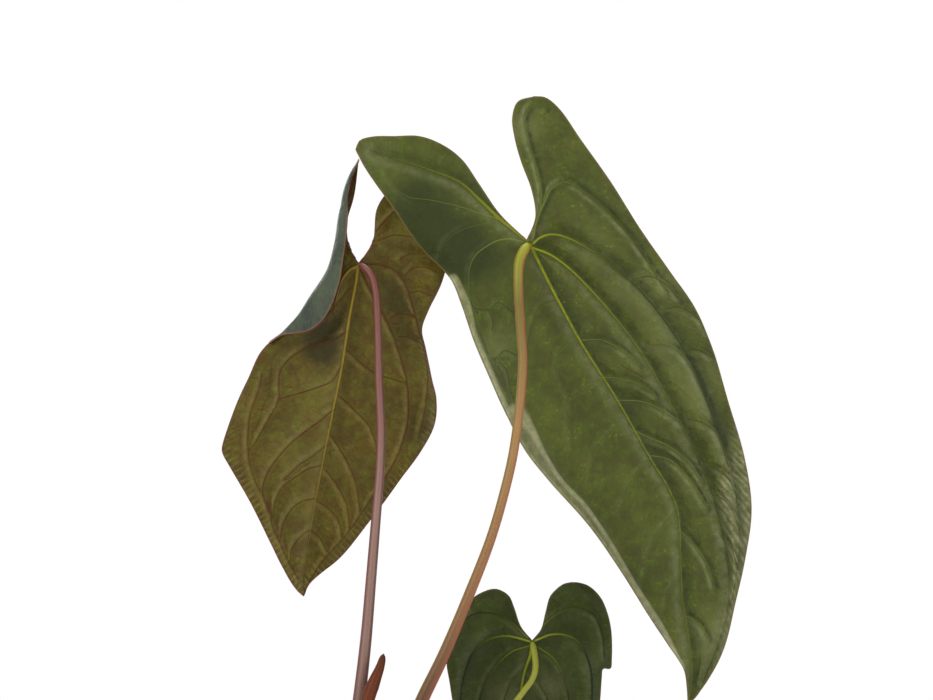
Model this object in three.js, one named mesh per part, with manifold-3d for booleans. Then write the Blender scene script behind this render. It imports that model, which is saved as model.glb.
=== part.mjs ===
// Potted dark lotus anthurium: three heart-shaped leaves on long leafstalks, a new shoot,
// and a short stem rooted in bark mix in a plain nursery pot. Millimetres, +Z up.
// The origin is the middle of the pot's underside, and +Y points away from the backs of the leaves.

import * as THREE from 'three';
import * as BufferGeometryUtils from 'three/addons/utils/BufferGeometryUtils.js';
import Module from 'manifold-3d';

const wasm = await Module();
wasm.setup();

// Driving dimensions

const GAP = 0.3; // clearance where one piece is seated on another

const POT = {
  height: 112,
  topRadius: 62,
  baseRadius: 45,
  wall: 1.8,
  floor: 3,
  rimHeight: 12,
  rimProud: 2.4,
  segments: 40,
  drainHoles: 6,
  drainRadius: 4,
  drainCircle: 28,
};

const MIX = {
  surface: 99, // mean height of the potting mix above the pot's underside
  crown: 4, // the mix is heaped this much towards the stem
  roughness: 1.6,
  rings: 9,
  segments: 32,
  barkPieces: 30,
  seed: 7,
};

const STEM = {
  bottom: 62,
  top: 128,
  radius: 8,
  headRadius: 10.5,
  scars: 4, // rings left by fallen leaves
  sides: 14,
};

const BLADE_THICKNESS = 0.9;

// Leaves, seen from behind. Outlines and ribs are in millimetres right of and above the point
// where the leafstalk joins the blade; lean gives the blade's distance back at a height.

const LARGE_LEAF = {
  name: 'leaf_large',
  attachment: [80, 11, 408.5],
  colour: 0x4b542d,
  stalkColour: 0xa58c55,
  midrib: [[0, 0], [9, -18], [22.5, -43], [39.5, -70], [54, -95.5], [63, -110.5], [67, -121],
    [68, -140], [69, -160], [72, -180], [73, -195], [71.5, -207]],
  lean: [[66, -9], [30, -5], [0, 0], [-60, 17], [-116, 31], [-160, 34], [-207, 35]],
  camber: 7,
  turnedEdge: 3,
  wave: 1.2,
  quilt: 1.3,
  ribRelief: 1.1,
  rows: [8, 6, 30],
  left: {
    rib: [[0, 0], [-7, 6.5], [-14.5, 12], [-25, 21], [-38, 29.5], [-54, 36.5], [-67.5, 41], [-78, 44]],
    sinus: [[-1.5, 2], [-13.5, 13.5], [-22.5, 26.5], [-30.5, 38], [-39, 44.5], [-49.5, 48.5],
      [-61, 48.5], [-72, 48], [-78, 44]],
    margin: [[-78, 44], [-74, 34.5], [-63, 18.5], [-49.5, -1], [-36, -16], [-30.5, -27.5],
      [-25, -43], [-18.5, -59], [-11, -74.5], [-2, -92.5], [9, -106.5], [27, -127.5], [40.5, -146],
      [54, -167.5], [63, -181], [69.5, -191.5], [71, -200], [71.5, -207]],
    shoulder: [0.24, 0.37],
  },
  right: {
    rib: [[0, 0], [3, 8], [5.5, 16], [6, 25], [3.5, 35.5], [1, 47], [0.5, 56.5], [2, 66]],
    sinus: [[-1.5, 2], [2, 10], [2.5, 14.5], [0.5, 25], [-4, 37], [-7, 47.5], [-8, 57], [-5.5, 64], [2, 66]],
    margin: [[2, 66], [7, 65.5], [13.5, 60.5], [22.5, 47.5], [36, 28.5], [49.5, 7], [63, -12],
      [74, -28], [82.5, -47.5], [88.5, -70], [97, -97], [100, -119.5], [97, -142], [93, -160],
      [87.5, -182], [80.5, -196], [74, -205], [71.5, -207]],
    shoulder: [0.22, 0.38],
  },
  stalk: {
    path: [[5.8, -0.6, 118], [6.6, -0.8, 128], [11, -1, 147], [20, -1.5, 175], [31.3, -2, 203.4],
      [41, -2, 223.6], [52.4, -1, 250.6], [62.8, 0, 277.6], [69.8, 1, 302.4], [72.7, 1.5, 316],
      [75.6, 2, 338.5], [76.7, 2.5, 356.4], [75.6, 3, 374.4], [74.7, 4, 392], [75.4, 6.2, 401.5],
      [78.2, 9.2, 407]],
    radii: [3.3, 3.1, 2.9, 2.4, 2.1, 1.9, 1.9, 2.2],
    steps: 48,
  },
};

const LEFT_LEAF = {
  name: 'leaf_left',
  attachment: [3, 25, 399.5],
  colour: 0x645a28,
  stalkColour: 0xa5877f,
  midrib: [[0, 0], [-1.5, -9.5], [-4, -23], [-7.5, -45.5], [-11.5, -65.5], [-16.5, -90.5],
    [-21, -115], [-23.5, -131], [-25, -142], [-24.5, -149.5]],
  lean: [[47, 4], [20, 1], [0, 0], [-40, 6], [-85, 13], [-125, 17], [-150, 15]],
  camber: 5,
  turnedEdge: 1.5,
  wave: 2,
  quilt: 1.5,
  ribRelief: 0.9,
  rows: [10, 6, 26],
  left: {
    rib: [[0, 0], [-2.5, 4.5], [-5, 11], [-6, 19], [-5.5, 26.5], [-4, 34], [-2, 41.5], [0, 47]],
    sinus: [[0, 0.8], [-3, 5], [-5, 12], [-5, 20], [-2.5, 29], [-1.5, 34], [-0.5, 42.5], [0, 47]],
    margin: [[0, 47], [-2.5, 38.5], [-4.5, 26.5], [-5, 17.5], [-7, 2], [-9, -9.5], [-15, -23.5],
      [-22, -29.5], [-36, -32.5], [-43.5, -38.5], [-50, -52], [-56, -66.5], [-61.5, -83.5],
      [-57, -92], [-49, -106.5], [-40, -125], [-33, -138], [-27.5, -146.5], [-24.5, -149.5]],
    shoulder: [0.22, 0.33],
    // This lobe is rolled towards the front: the roll's outline, its end along the margin, its radius
    roll: [[0, 47], [-4.5, 37], [-8, 24.5], [-11, 9.5], [-14, -2.5], [-22, -15], [-27.5, -23.5], [-36, -32.5]],
    rollEnd: 0.44,
    rollRadius: 4,
  },
  right: {
    rib: [[0, 0], [3.5, 8], [7, 16], [12.5, 24], [19.5, 30.5], [27.5, 36]],
    sinus: [[0, 0.8], [3, 4.5], [6, 11], [8.5, 24.5], [12, 31.5], [18.5, 37], [27.5, 38.5]],
    margin: [[27.5, 38.5], [35, 30.5], [39, 15.5], [39.5, 1], [37, -9], [31.5, -20.5], [28.5, -29],
      [30, -38], [32.5, -50], [35, -61], [34, -72], [27.5, -84.5], [18.5, -97], [5, -115.5],
      [-8.5, -132], [-22, -143.5], [-24.5, -149.5]],
    shoulder: [0.15, 0.28],
  },
  stalk: {
    path: [[-4.6, 0, 118], [-4.8, 0, 128], [-3.6, 0.8, 147], [-0.6, 2.2, 175], [3.2, 4, 203.4],
      [6.3, 6, 230.4], [8.6, 8, 257.4], [10.8, 10.5, 284.4], [12.6, 12.5, 307], [13.1, 14, 325],
      [12.2, 15.5, 347.4], [11.5, 17.5, 374.4], [10.6, 19, 388], [8.6, 20.6, 394.8], [5, 23.2, 398.3]],
    radii: [3.2, 3.1, 2.8, 2.3, 2, 1.8, 1.6, 1.7],
    steps: 44,
  },
};

const SMALL_LEAF = {
  name: 'leaf_small',
  attachment: [81, 17, 229.5],
  colour: 0x3e4828,
  stalkColour: 0x9aa045,
  midrib: [[0, 0], [-1, -6], [-3.5, -13.5], [-5, -22.5], [-4.5, -39.5], [0, -66.5], [5.5, -84.5]],
  lean: [[30, 5], [12, 1.5], [0, 0], [-40, 9], [-85, 17]],
  camber: 4.5,
  turnedEdge: 1.5,
  wave: 1.2,
  quilt: 1.1,
  ribRelief: 0.7,
  rows: [7, 5, 16],
  left: {
    rib: [[0, 0], [-5.5, 3.5], [-12, 9], [-18, 15.5], [-22, 22.5]],
    sinus: [[0, 1], [-5, 7], [-8, 15.5], [-10.5, 21], [-15.5, 23.5], [-22, 22.5]],
    margin: [[-22, 22.5], [-28, 19], [-35, 11], [-39, -3.5], [-37, -18], [-34, -33], [-26, -51],
      [-12.5, -71], [-1, -82.5], [5.5, -84.5]],
    shoulder: [0.16, 0.34],
  },
  right: {
    rib: [[0, 0], [4.5, 5.5], [10.5, 11.5], [15, 18.5], [18, 27]],
    sinus: [[0, 1], [4, 6], [6, 13.5], [8, 20.5], [12.5, 25], [18, 27]],
    margin: [[18, 27], [26, 25], [32, 17], [35, 5.5], [35.5, -8], [31, -14.5], [30.5, -26],
      [27, -44], [19, -64.5], [10, -80], [5.5, -84.5]],
    shoulder: [0.16, 0.34],
  },
  stalk: {
    path: [[2.6, 5.6, 118], [3.2, 6, 127], [9.6, 6.6, 133], [20, 7, 143.5], [36, 8, 160], [52, 9, 177],
      [66, 9.6, 193.5], [73.8, 10, 203.4], [77.9, 10.5, 208.8], [80.6, 11, 212.4], [82.4, 11.8, 216],
      [83, 12.6, 220], [82.6, 13.8, 224.5], [81.6, 15.6, 228.2]],
    radii: [2.3, 2.2, 2, 1.8, 1.6, 1.5, 1.4, 1.5],
    steps: 36,
  },
};

const SHOOT = {
  path: [[1, -5.8, 118], [1.2, -5.8, 130], [2, -5.4, 150], [4, -4.8, 178], [7.1, -4.2, 203.4],
    [10.2, -3.8, 212.4], [12.8, -3.4, 219], [14.4, -3.2, 225]],
  radii: [2.7, 2.8, 3, 3.1, 3.2, 3.1, 2.8, 0.5],
  steps: 24,
};

// Roots that leave the stem above the mix: direction in degrees, height and reach
const AERIAL_ROOTS = [
  { heading: 200, height: 113, reach: 19 },
  { heading: 285, height: 110, reach: 22 },
  { heading: 335, height: 115, reach: 25 },
  { heading: 60, height: 112, reach: 21 },
  { heading: 130, height: 116, reach: 23 },
];
const ROOT_RADIUS = 1.9;

// Helpers

function material(colour, roughness) {
  return new THREE.MeshStandardMaterial({ color: colour, roughness, metalness: 0 });
}

function piece(name, geometry, mat) {
  const mesh = new THREE.Mesh(geometry, mat);
  mesh.name = name;
  return mesh;
}

// A repeatable source of numbers between 0 and 1
function randomSource(seed) {
  let state = seed;
  return () => {
    state = (state * 1664525 + 1013904223) % 4294967296;
    return state / 4294967296;
  };
}

function curveThrough(points) {
  const curve = new THREE.CatmullRomCurve3(points.map((p) => new THREE.Vector3(p[0], p[1], p[2] ?? 0)));
  curve.arcLengthDivisions = 400;
  return curve;
}

// Smooth value of a list of numbers spread evenly over 0 to 1
function valueAlong(values, t) {
  const place = THREE.MathUtils.clamp(t, 0, 1) * (values.length - 1);
  const index = Math.min(Math.floor(place), values.length - 2);
  const blend = THREE.MathUtils.smoothstep(place - index, 0, 1) * 0.5 + (place - index) * 0.5;
  return THREE.MathUtils.lerp(values[index], values[index + 1], blend);
}

function toManifold(geometry) {
  const plain = geometry.clone();
  plain.deleteAttribute('normal');
  plain.deleteAttribute('uv');
  const merged = BufferGeometryUtils.mergeVertices(plain, 1e-4);
  return new wasm.Manifold(new wasm.Mesh({
    numProp: 3,
    vertProperties: new Float32Array(merged.attributes.position.array),
    triVerts: new Uint32Array(merged.index.array),
  }));
}

// The largest closed body of a solid, as a geometry
function toGeometry(solid) {
  const bodies = solid.decompose().sort((a, b) => b.volume() - a.volume());
  const mesh = bodies[0].getMesh();
  const geometry = new THREE.BufferGeometry();
  geometry.setAttribute('position', new THREE.BufferAttribute(mesh.vertProperties, 3));
  geometry.setIndex(new THREE.BufferAttribute(mesh.triVerts, 1));
  return geometry;
}

// A round bar of changing radius along a path, made by bending a cylinder
function bentBar(path, radii, steps, sides, extra = 0) {
  const curve = curveThrough(path);
  const frames = curve.computeFrenetFrames(steps, false);
  const geometry = new THREE.CylinderGeometry(1, 1, 1, sides, steps);
  const position = geometry.attributes.position;
  for (let i = 0; i < position.count; i += 1) {
    const t = position.getY(i) + 0.5;
    const step = Math.round(t * steps);
    const radius = valueAlong(radii, t) + extra;
    const centre = curve.getPointAt(step / steps);
    centre.addScaledVector(frames.normals[step], position.getX(i) * radius);
    centre.addScaledVector(frames.binormals[step], -position.getZ(i) * radius);
    position.setXYZ(i, centre.x, centre.y, centre.z);
  }
  return geometry;
}

// Blades

// Distance back at a height, from a leaf's lean
function leanAt(lean, height) {
  const last = lean.length - 1;
  if (height >= lean[0][0]) return lean[0][1];
  if (height <= lean[last][0]) return lean[last][1];
  const next = lean.findIndex((row) => row[0] < height);
  const [topHeight, topDepth] = lean[next - 1];
  const [lowHeight, lowDepth] = lean[next];
  const along = (topHeight - height) / (topHeight - lowHeight);
  return THREE.MathUtils.lerp(topDepth, lowDepth, along);
}

// Where a row of the blade leaves the ribs, for a place along the margin from lobe to tip
function ribPoint(leaf, half, along) {
  const [lobeEnd, bladeStart] = half.shoulder;
  if (along <= lobeEnd) return half.ribCurve.getPointAt(1 - along / lobeEnd);
  if (along <= bladeStart) return new THREE.Vector3();
  const forwardSweep = 1.3;
  return leaf.midribCurve.getPointAt(((along - bladeStart) / (1 - bladeStart)) ** forwardSweep);
}

// A point of the row at `along`, a share `across` of the way from rib to margin.
// Returns right, up and the distance that a roll brings it forward.
function rowPoint(leaf, half, along, across) {
  const root = ribPoint(leaf, half, along);
  const edge = half.marginCurve.getPointAt(along);
  if (!half.roll || along >= half.rollEnd) {
    return { point: root.clone().lerp(edge, across), root, forward: 0 };
  }
  const progress = along / half.rollEnd;
  const outline = half.rollCurve.getPointAt(progress);
  const radius = half.rollRadius * Math.sqrt(Math.sin(Math.PI * progress));
  const outward = outline.clone().sub(root).normalize();
  const bendCentre = outline.clone().addScaledVector(outward, -radius);
  const backLength = bendCentre.distanceTo(root);
  const bendLength = Math.PI * radius;
  const flapLength = bendCentre.distanceTo(edge);
  const travelled = across * (backLength + bendLength + flapLength);
  if (travelled <= backLength) {
    return { point: root.clone().addScaledVector(outward, travelled), root, forward: 0 };
  }
  if (travelled < backLength + bendLength) {
    const angle = (travelled - backLength) / radius;
    return {
      point: bendCentre.addScaledVector(outward, radius * Math.sin(angle)),
      root,
      forward: radius * (1 - Math.cos(angle)),
    };
  }
  const flapShare = (travelled - backLength - bendLength) / Math.max(flapLength, 1e-6);
  return { point: bendCentre.lerp(edge, flapShare), root, forward: 2 * radius };
}

// Shares of a row at which the blade has points: close together on the raised rib and at the edge
const ACROSS = [0, 0.035, 0.13, 0.3, 0.48, 0.65, 0.8, 0.92, 1];
const ACROSS_SINUS = [0, 0.5, 1];

function bladePoint(leaf, half, along, across, ribRise) {
  const { point, root, forward } = rowPoint(leaf, half, along, across);
  const spread = point.distanceTo(root);
  const flatness = 1 - Math.min(forward / 2, 1);
  const [, bladeStart] = half.shoulder;
  const ribsPerBlade = 8;
  const sideRibs = Math.sin(Math.PI * ribsPerBlade * Math.max(along - bladeStart, 0) / (1 - bladeStart)) ** 2;
  const quilting = leaf.quilt * sideRibs * Math.sin(Math.PI * across) * Math.min(spread / 25, 1);
  const wave = leaf.wave * Math.sin(2 * Math.PI * 6 * along) * across ** 3 * Math.min(spread / 15, 1);
  const turned = leaf.turnedEdge * THREE.MathUtils.smoothstep(across, 0.78, 1) * Math.min(spread / 25, 1);
  const camber = leaf.camber * (spread / 50) ** 2;
  const depth = leanAt(leaf.lean, point.y) - forward - ribRise
    + (camber + quilting + wave + turned) * flatness;
  return new THREE.Vector3(point.x, depth, point.y);
}

// How far the midrib and the lobe ribs stand out of the blade's back
function ribDepth(leaf, fromTip, across) {
  const taper = THREE.MathUtils.smoothstep(fromTip, 0, 0.4);
  return leaf.ribRelief * taper * (1 - THREE.MathUtils.smoothstep(across, 0, 0.1));
}

// Places along the margin where rows end: the lobe's, the shoulder's and the blade's
function rowPlaces(leaf, half) {
  const [lobeEnd, bladeStart] = half.shoulder;
  const [lobeRows, shoulderRows, bladeRows] = leaf.rows;
  const places = [];
  for (let i = 0; i < lobeRows; i += 1) places.push(lobeEnd * i / lobeRows);
  for (let i = 0; i < shoulderRows; i += 1) {
    places.push(lobeEnd + (bladeStart - lobeEnd) * i / shoulderRows);
  }
  for (let i = 0; i <= bladeRows; i += 1) places.push(bladeStart + (1 - bladeStart) * i / bladeRows);
  return places;
}

// The waved sheet of a blade as shared points and triangles that face the front
function bladeSheet(leaf) {
  const points = [];
  const triangles = [];
  const index = new Map();
  const indexOf = (key, makePoint) => {
    if (!index.has(key)) {
      index.set(key, points.length);
      points.push(makePoint());
    }
    return index.get(key);
  };
  const addGrid = (rows, flip) => {
    for (let i = 0; i + 1 < rows.length; i += 1) {
      for (let j = 0; j + 1 < rows[i].length; j += 1) {
        const corners = [rows[i][j], rows[i + 1][j], rows[i + 1][j + 1], rows[i][j + 1]];
        if (flip) corners.reverse();
        const [a, b, c, d] = corners;
        const pair = (i + j) % 2 === 0 ? [[a, b, c], [a, c, d]] : [[a, b, d], [b, c, d]];
        for (const [p, q, r] of pair) {
          if (p !== q && q !== r && r !== p) triangles.push([p, q, r]);
        }
      }
    }
  };
  const [lobeRows, shoulderRows, bladeRows] = leaf.rows;
  const firstBladeRow = lobeRows + shoulderRows;
  leaf.midribCurve = curveThrough(leaf.midrib);
  for (const [side, flip] of [['left', false], ['right', true]]) {
    const half = leaf[side];
    half.ribCurve = curveThrough(half.rib);
    half.sinusCurve = curveThrough(half.sinus);
    half.marginCurve = curveThrough(half.margin);
    if (half.roll) half.rollCurve = curveThrough(half.roll);
    const [lobeEnd] = half.shoulder;
    const places = rowPlaces(leaf, half);
    // Points on a rib, at the joint, at the lobe's end and at the tip are shared by their neighbours
    const outerKey = (i, j) => {
      if (i === 0) return `${side} lobe end`;
      if (i === places.length - 1) return 'tip';
      if (j > 0) return `${side} outer ${i} ${j}`;
      if (i < lobeRows) return `${side} rib ${i}`;
      return i <= firstBladeRow ? 'joint' : `midrib ${i - firstBladeRow}`;
    };
    const outer = places.map((along, i) => ACROSS.map((across, j) => (
      indexOf(outerKey(i, j), () => {
        const fromTip = 1 - Math.max(i - firstBladeRow, 0) / bladeRows;
        const fromEnd = i < lobeRows ? i / lobeRows : fromTip;
        return bladePoint(leaf, half, along, across, ribDepth(leaf, fromEnd, across));
      }))));
    addGrid(outer, flip);
    const innerKey = (i, j) => {
      if (i === 0 || j === 0) return outerKey(i, 0);
      return i === lobeRows ? `sinus ${j}` : `${side} inner ${i} ${j}`;
    };
    const inner = places.slice(0, lobeRows + 1).map((along, i) => ACROSS_SINUS.map((across, j) => (
      indexOf(innerKey(i, j), () => {
        const edge = half.sinusCurve.getPointAt(1 - along / lobeEnd);
        const point = ribPoint(leaf, half, along).lerp(edge, across);
        return new THREE.Vector3(point.x, leanAt(leaf.lean, point.y), point.y);
      }))));
    addGrid(inner, !flip);
  }
  return { points, triangles };
}

// A closed blade: the sheet moved half its thickness to each side, with a wall round the margin
function bladeGeometry(leaf, thickness) {
  const { points, triangles } = bladeSheet(leaf);
  const normals = points.map(() => new THREE.Vector3());
  const edges = new Map();
  for (const [a, b, c] of triangles) {
    const normal = new THREE.Vector3().subVectors(points[b], points[a])
      .cross(new THREE.Vector3().subVectors(points[c], points[a]));
    for (const corner of [a, b, c]) normals[corner].add(normal);
    for (const [from, to] of [[a, b], [b, c], [c, a]]) edges.set(`${from} ${to}`, [from, to]);
  }
  const [x, y, z] = leaf.attachment;
  const vertices = [];
  for (const side of [0.5, -0.5]) {
    points.forEach((p, i) => {
      const moved = p.clone().addScaledVector(normals[i].clone().normalize(), side * thickness);
      vertices.push(moved.x + x, moved.y + y, moved.z + z);
    });
  }
  const back = points.length;
  const faces = [];
  for (const [a, b, c] of triangles) faces.push(a, b, c, a + back, c + back, b + back);
  for (const [from, to] of edges.values()) {
    if (!edges.has(`${to} ${from}`)) faces.push(from, from + back, to, to, from + back, to + back);
  }
  const geometry = new THREE.BufferGeometry();
  geometry.setAttribute('position', new THREE.Float32BufferAttribute(vertices, 3));
  geometry.setIndex(faces);
  return geometry;
}

// Stem, roots and leafstalks

function stemSolid(extra = 0) {
  const profile = [[0, STEM.bottom - extra], [STEM.radius * 0.7 + extra, STEM.bottom - extra]];
  const rows = 16;
  for (let i = 1; i <= rows; i += 1) {
    const t = i / rows;
    const height = THREE.MathUtils.lerp(STEM.bottom, STEM.top - 3, t);
    const swell = THREE.MathUtils.smoothstep(t, 0.55, 0.95) * (STEM.headRadius - STEM.radius);
    const scar = 0.7 * Math.max(0, Math.cos(2 * Math.PI * STEM.scars * t)) ** 3;
    profile.push([STEM.radius + swell - scar + extra, height]);
  }
  profile.push([STEM.headRadius * 0.72 + extra, STEM.top - 0.6 + extra]);
  profile.push([0, STEM.top + extra]);
  const lathe = new THREE.LatheGeometry(profile.map(([r, h]) => new THREE.Vector2(r, h)), STEM.sides);
  lathe.rotateX(Math.PI / 2);
  let solid = toManifold(lathe);
  for (const { heading, height, reach } of AERIAL_ROOTS) {
    const angle = THREE.MathUtils.degToRad(heading);
    const at = (out, z) => [Math.cos(angle) * out, Math.sin(angle) * out, z];
    const path = [at(STEM.radius - 4, height), at(STEM.radius + 2, height + 1),
      at(reach * 0.7, height - 4), at(reach * 0.95, height - 14), at(reach, height - 34)];
    const radii = [ROOT_RADIUS, ROOT_RADIUS, ROOT_RADIUS * 0.9, ROOT_RADIUS * 0.75, ROOT_RADIUS * 0.5];
    solid = solid.add(toManifold(bentBar(path, radii, 9, 6, extra)));
  }
  return solid;
}

function stalkSolid({ path, radii, steps }, stemClearance, sides = 8) {
  return toManifold(bentBar(path, radii, steps, sides)).subtract(stemClearance);
}

// Pot and potting mix

function innerRadiusAt(height) {
  const share = height / POT.height;
  return THREE.MathUtils.lerp(POT.baseRadius, POT.topRadius, share) - POT.wall;
}

function potGeometry() {
  const outerAt = (height) => innerRadiusAt(height) + POT.wall;
  const rimBottom = POT.height - POT.rimHeight;
  const outline = [
    [0, 0], [POT.baseRadius - 2, 0], [outerAt(2), 2],
    [outerAt(rimBottom), rimBottom], [outerAt(rimBottom) + POT.rimProud, rimBottom + 1],
    [outerAt(POT.height) + POT.rimProud, POT.height - 1.5], [outerAt(POT.height) + POT.rimProud - 1.5, POT.height],
    [innerRadiusAt(POT.height) + 0.8, POT.height], [innerRadiusAt(POT.height), POT.height - 1],
    [innerRadiusAt(POT.floor), POT.floor], [0, POT.floor],
  ];
  const lathe = new THREE.LatheGeometry(outline.map(([r, h]) => new THREE.Vector2(r, h)), POT.segments);
  lathe.rotateX(Math.PI / 2);
  let solid = toManifold(lathe);
  for (let i = 0; i < POT.drainHoles; i += 1) {
    const angle = 2 * Math.PI * i / POT.drainHoles;
    const hole = new THREE.CylinderGeometry(POT.drainRadius, POT.drainRadius, 4 * POT.floor, 14);
    hole.rotateX(Math.PI / 2);
    hole.translate(Math.cos(angle) * POT.drainCircle, Math.sin(angle) * POT.drainCircle, 0);
    solid = solid.subtract(toManifold(hole));
  }
  return toGeometry(solid);
}

// A filled body of potting mix with an uneven, heaped top
function mixBody() {
  const bottom = POT.floor + GAP;
  const radius = innerRadiusAt(MIX.surface) - GAP;
  const outline = [[0, bottom], [innerRadiusAt(bottom) - GAP - 0.1, bottom]];
  for (let i = MIX.rings; i >= 0; i -= 1) outline.push([radius * i / MIX.rings, MIX.surface]);
  const lathe = new THREE.LatheGeometry(outline.map(([r, h]) => new THREE.Vector2(r, h)), MIX.segments);
  lathe.rotateX(Math.PI / 2);
  const position = lathe.attributes.position;
  for (let i = 0; i < position.count; i += 1) {
    if (position.getZ(i) < MIX.surface - 1) continue;
    const x = position.getX(i);
    const y = position.getY(i);
    const share = Math.hypot(x, y) / radius;
    const bumps = Math.sin(x * 0.55 + 1) * Math.cos(y * 0.5) + 0.6 * Math.sin(x * 0.9 - y * 1.1);
    const rise = MIX.crown * (1 - share ** 2) + MIX.roughness * bumps * (1 - share ** 6);
    position.setZ(i, MIX.surface + rise);
  }
  return toManifold(lathe);
}

// Bark chips lie half sunk in the mix, each a rough block turned at random
function barkChips() {
  const random = randomSource(MIX.seed);
  const chips = [];
  const reach = innerRadiusAt(MIX.surface) - 9;
  for (let i = 0; i < MIX.barkPieces; i += 1) {
    const out = STEM.radius + 4 + (reach - STEM.radius - 4) * Math.sqrt(random());
    const heading = 2.4 * i + random();
    const size = 4 + 5 * random();
    const chip = new THREE.IcosahedronGeometry(size, 0);
    chip.scale(1, 0.5 + 0.4 * random(), 0.4 + 0.2 * random());
    chip.rotateX(0.5 * (random() - 0.5));
    chip.rotateZ(2 * Math.PI * random());
    const lift = MIX.crown * (1 - (out / reach) ** 2);
    chip.translate(Math.cos(heading) * out, Math.sin(heading) * out, MIX.surface + lift + 0.5 * random());
    chips.push(chip);
  }
  return chips;
}

function mixGeometry(stemClearance) {
  let solid = mixBody();
  for (const chip of barkChips()) solid = solid.add(toManifold(chip));
  return toGeometry(solid.subtract(stemClearance));
}

// The whole plant

const plant = new THREE.Group();
const stemClearance = stemSolid(GAP);

plant.add(piece('pot', potGeometry(), material(0x2c2d2c, 0.55)));
plant.add(piece('potting_mix', mixGeometry(stemClearance), material(0x3d2b1d, 0.95)));
plant.add(piece('stem', toGeometry(stemSolid()), material(0x6d6a3f, 0.7)));
plant.add(piece('new_shoot', toGeometry(stalkSolid(SHOOT, stemClearance)), material(0x6e3c28, 0.5)));

for (const leaf of [LARGE_LEAF, LEFT_LEAF, SMALL_LEAF]) {
  const blade = bladeGeometry(leaf, BLADE_THICKNESS);
  const bladeClearance = toManifold(bladeGeometry(leaf, BLADE_THICKNESS + 2 * GAP));
  const stalk = stalkSolid(leaf.stalk, stemClearance).subtract(bladeClearance);
  plant.add(piece(`${leaf.name}_blade`, blade, material(leaf.colour, 0.45)));
  plant.add(piece(`${leaf.name}_stalk`, toGeometry(stalk), material(leaf.stalkColour, 0.4)));
}

export default plant;
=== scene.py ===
"""A potted dark lotus anthurium, dressed round its solid model.

Each leaf blade is a fine sheet with raised veins and two faces of its own colour. It keeps the
outline, lean and roll of its solid. Leaf outlines and veins are in millimetres right of and above
the point where the stalk joins the blade, as seen from behind the leaves.
"""
import math
import random
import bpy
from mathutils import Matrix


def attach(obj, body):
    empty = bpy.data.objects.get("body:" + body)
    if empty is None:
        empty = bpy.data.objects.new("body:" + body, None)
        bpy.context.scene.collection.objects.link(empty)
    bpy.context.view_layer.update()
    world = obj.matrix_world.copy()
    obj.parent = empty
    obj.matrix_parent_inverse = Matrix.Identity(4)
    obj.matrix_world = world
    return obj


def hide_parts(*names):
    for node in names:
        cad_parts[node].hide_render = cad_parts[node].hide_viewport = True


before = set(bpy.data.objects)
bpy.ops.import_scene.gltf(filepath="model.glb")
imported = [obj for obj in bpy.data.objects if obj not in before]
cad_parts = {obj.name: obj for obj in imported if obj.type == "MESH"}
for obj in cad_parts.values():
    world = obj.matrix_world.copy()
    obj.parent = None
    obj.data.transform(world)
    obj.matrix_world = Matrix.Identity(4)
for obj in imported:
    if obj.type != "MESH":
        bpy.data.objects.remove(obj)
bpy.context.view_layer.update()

from types import SimpleNamespace

import bmesh
import bpy
import numpy as np
from mathutils import Euler, Matrix, Vector, kdtree, noise

bl_info = {
    "name": "Potted anthurium",
    "version": (1, 0, 0),
    "blender": (4, 5, 0),
    "location": "View3D > Sidebar > Anthurium",
    "description": "Leaves, stalks, shoot, stem, mix and pot of a potted anthurium",
    "category": "Add Mesh",
}

MM = 0.001
ROOT = "root"


def numbers(text):
    return tuple(float(number) for number in text.replace(",", " ").split())


def route(text):
    """Points from text such as "0,0 9,-18"."""
    return [numbers(point) for point in text.split()]


def veins(text):
    """Veins from text: each has a route, widths along it and strengths of its colour along it."""
    rows = [vein.split("|") for vein in text.split(";")]
    return [(route(way), numbers(widths), numbers(glow)) for way, widths, glow in rows]


# Leaves

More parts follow.
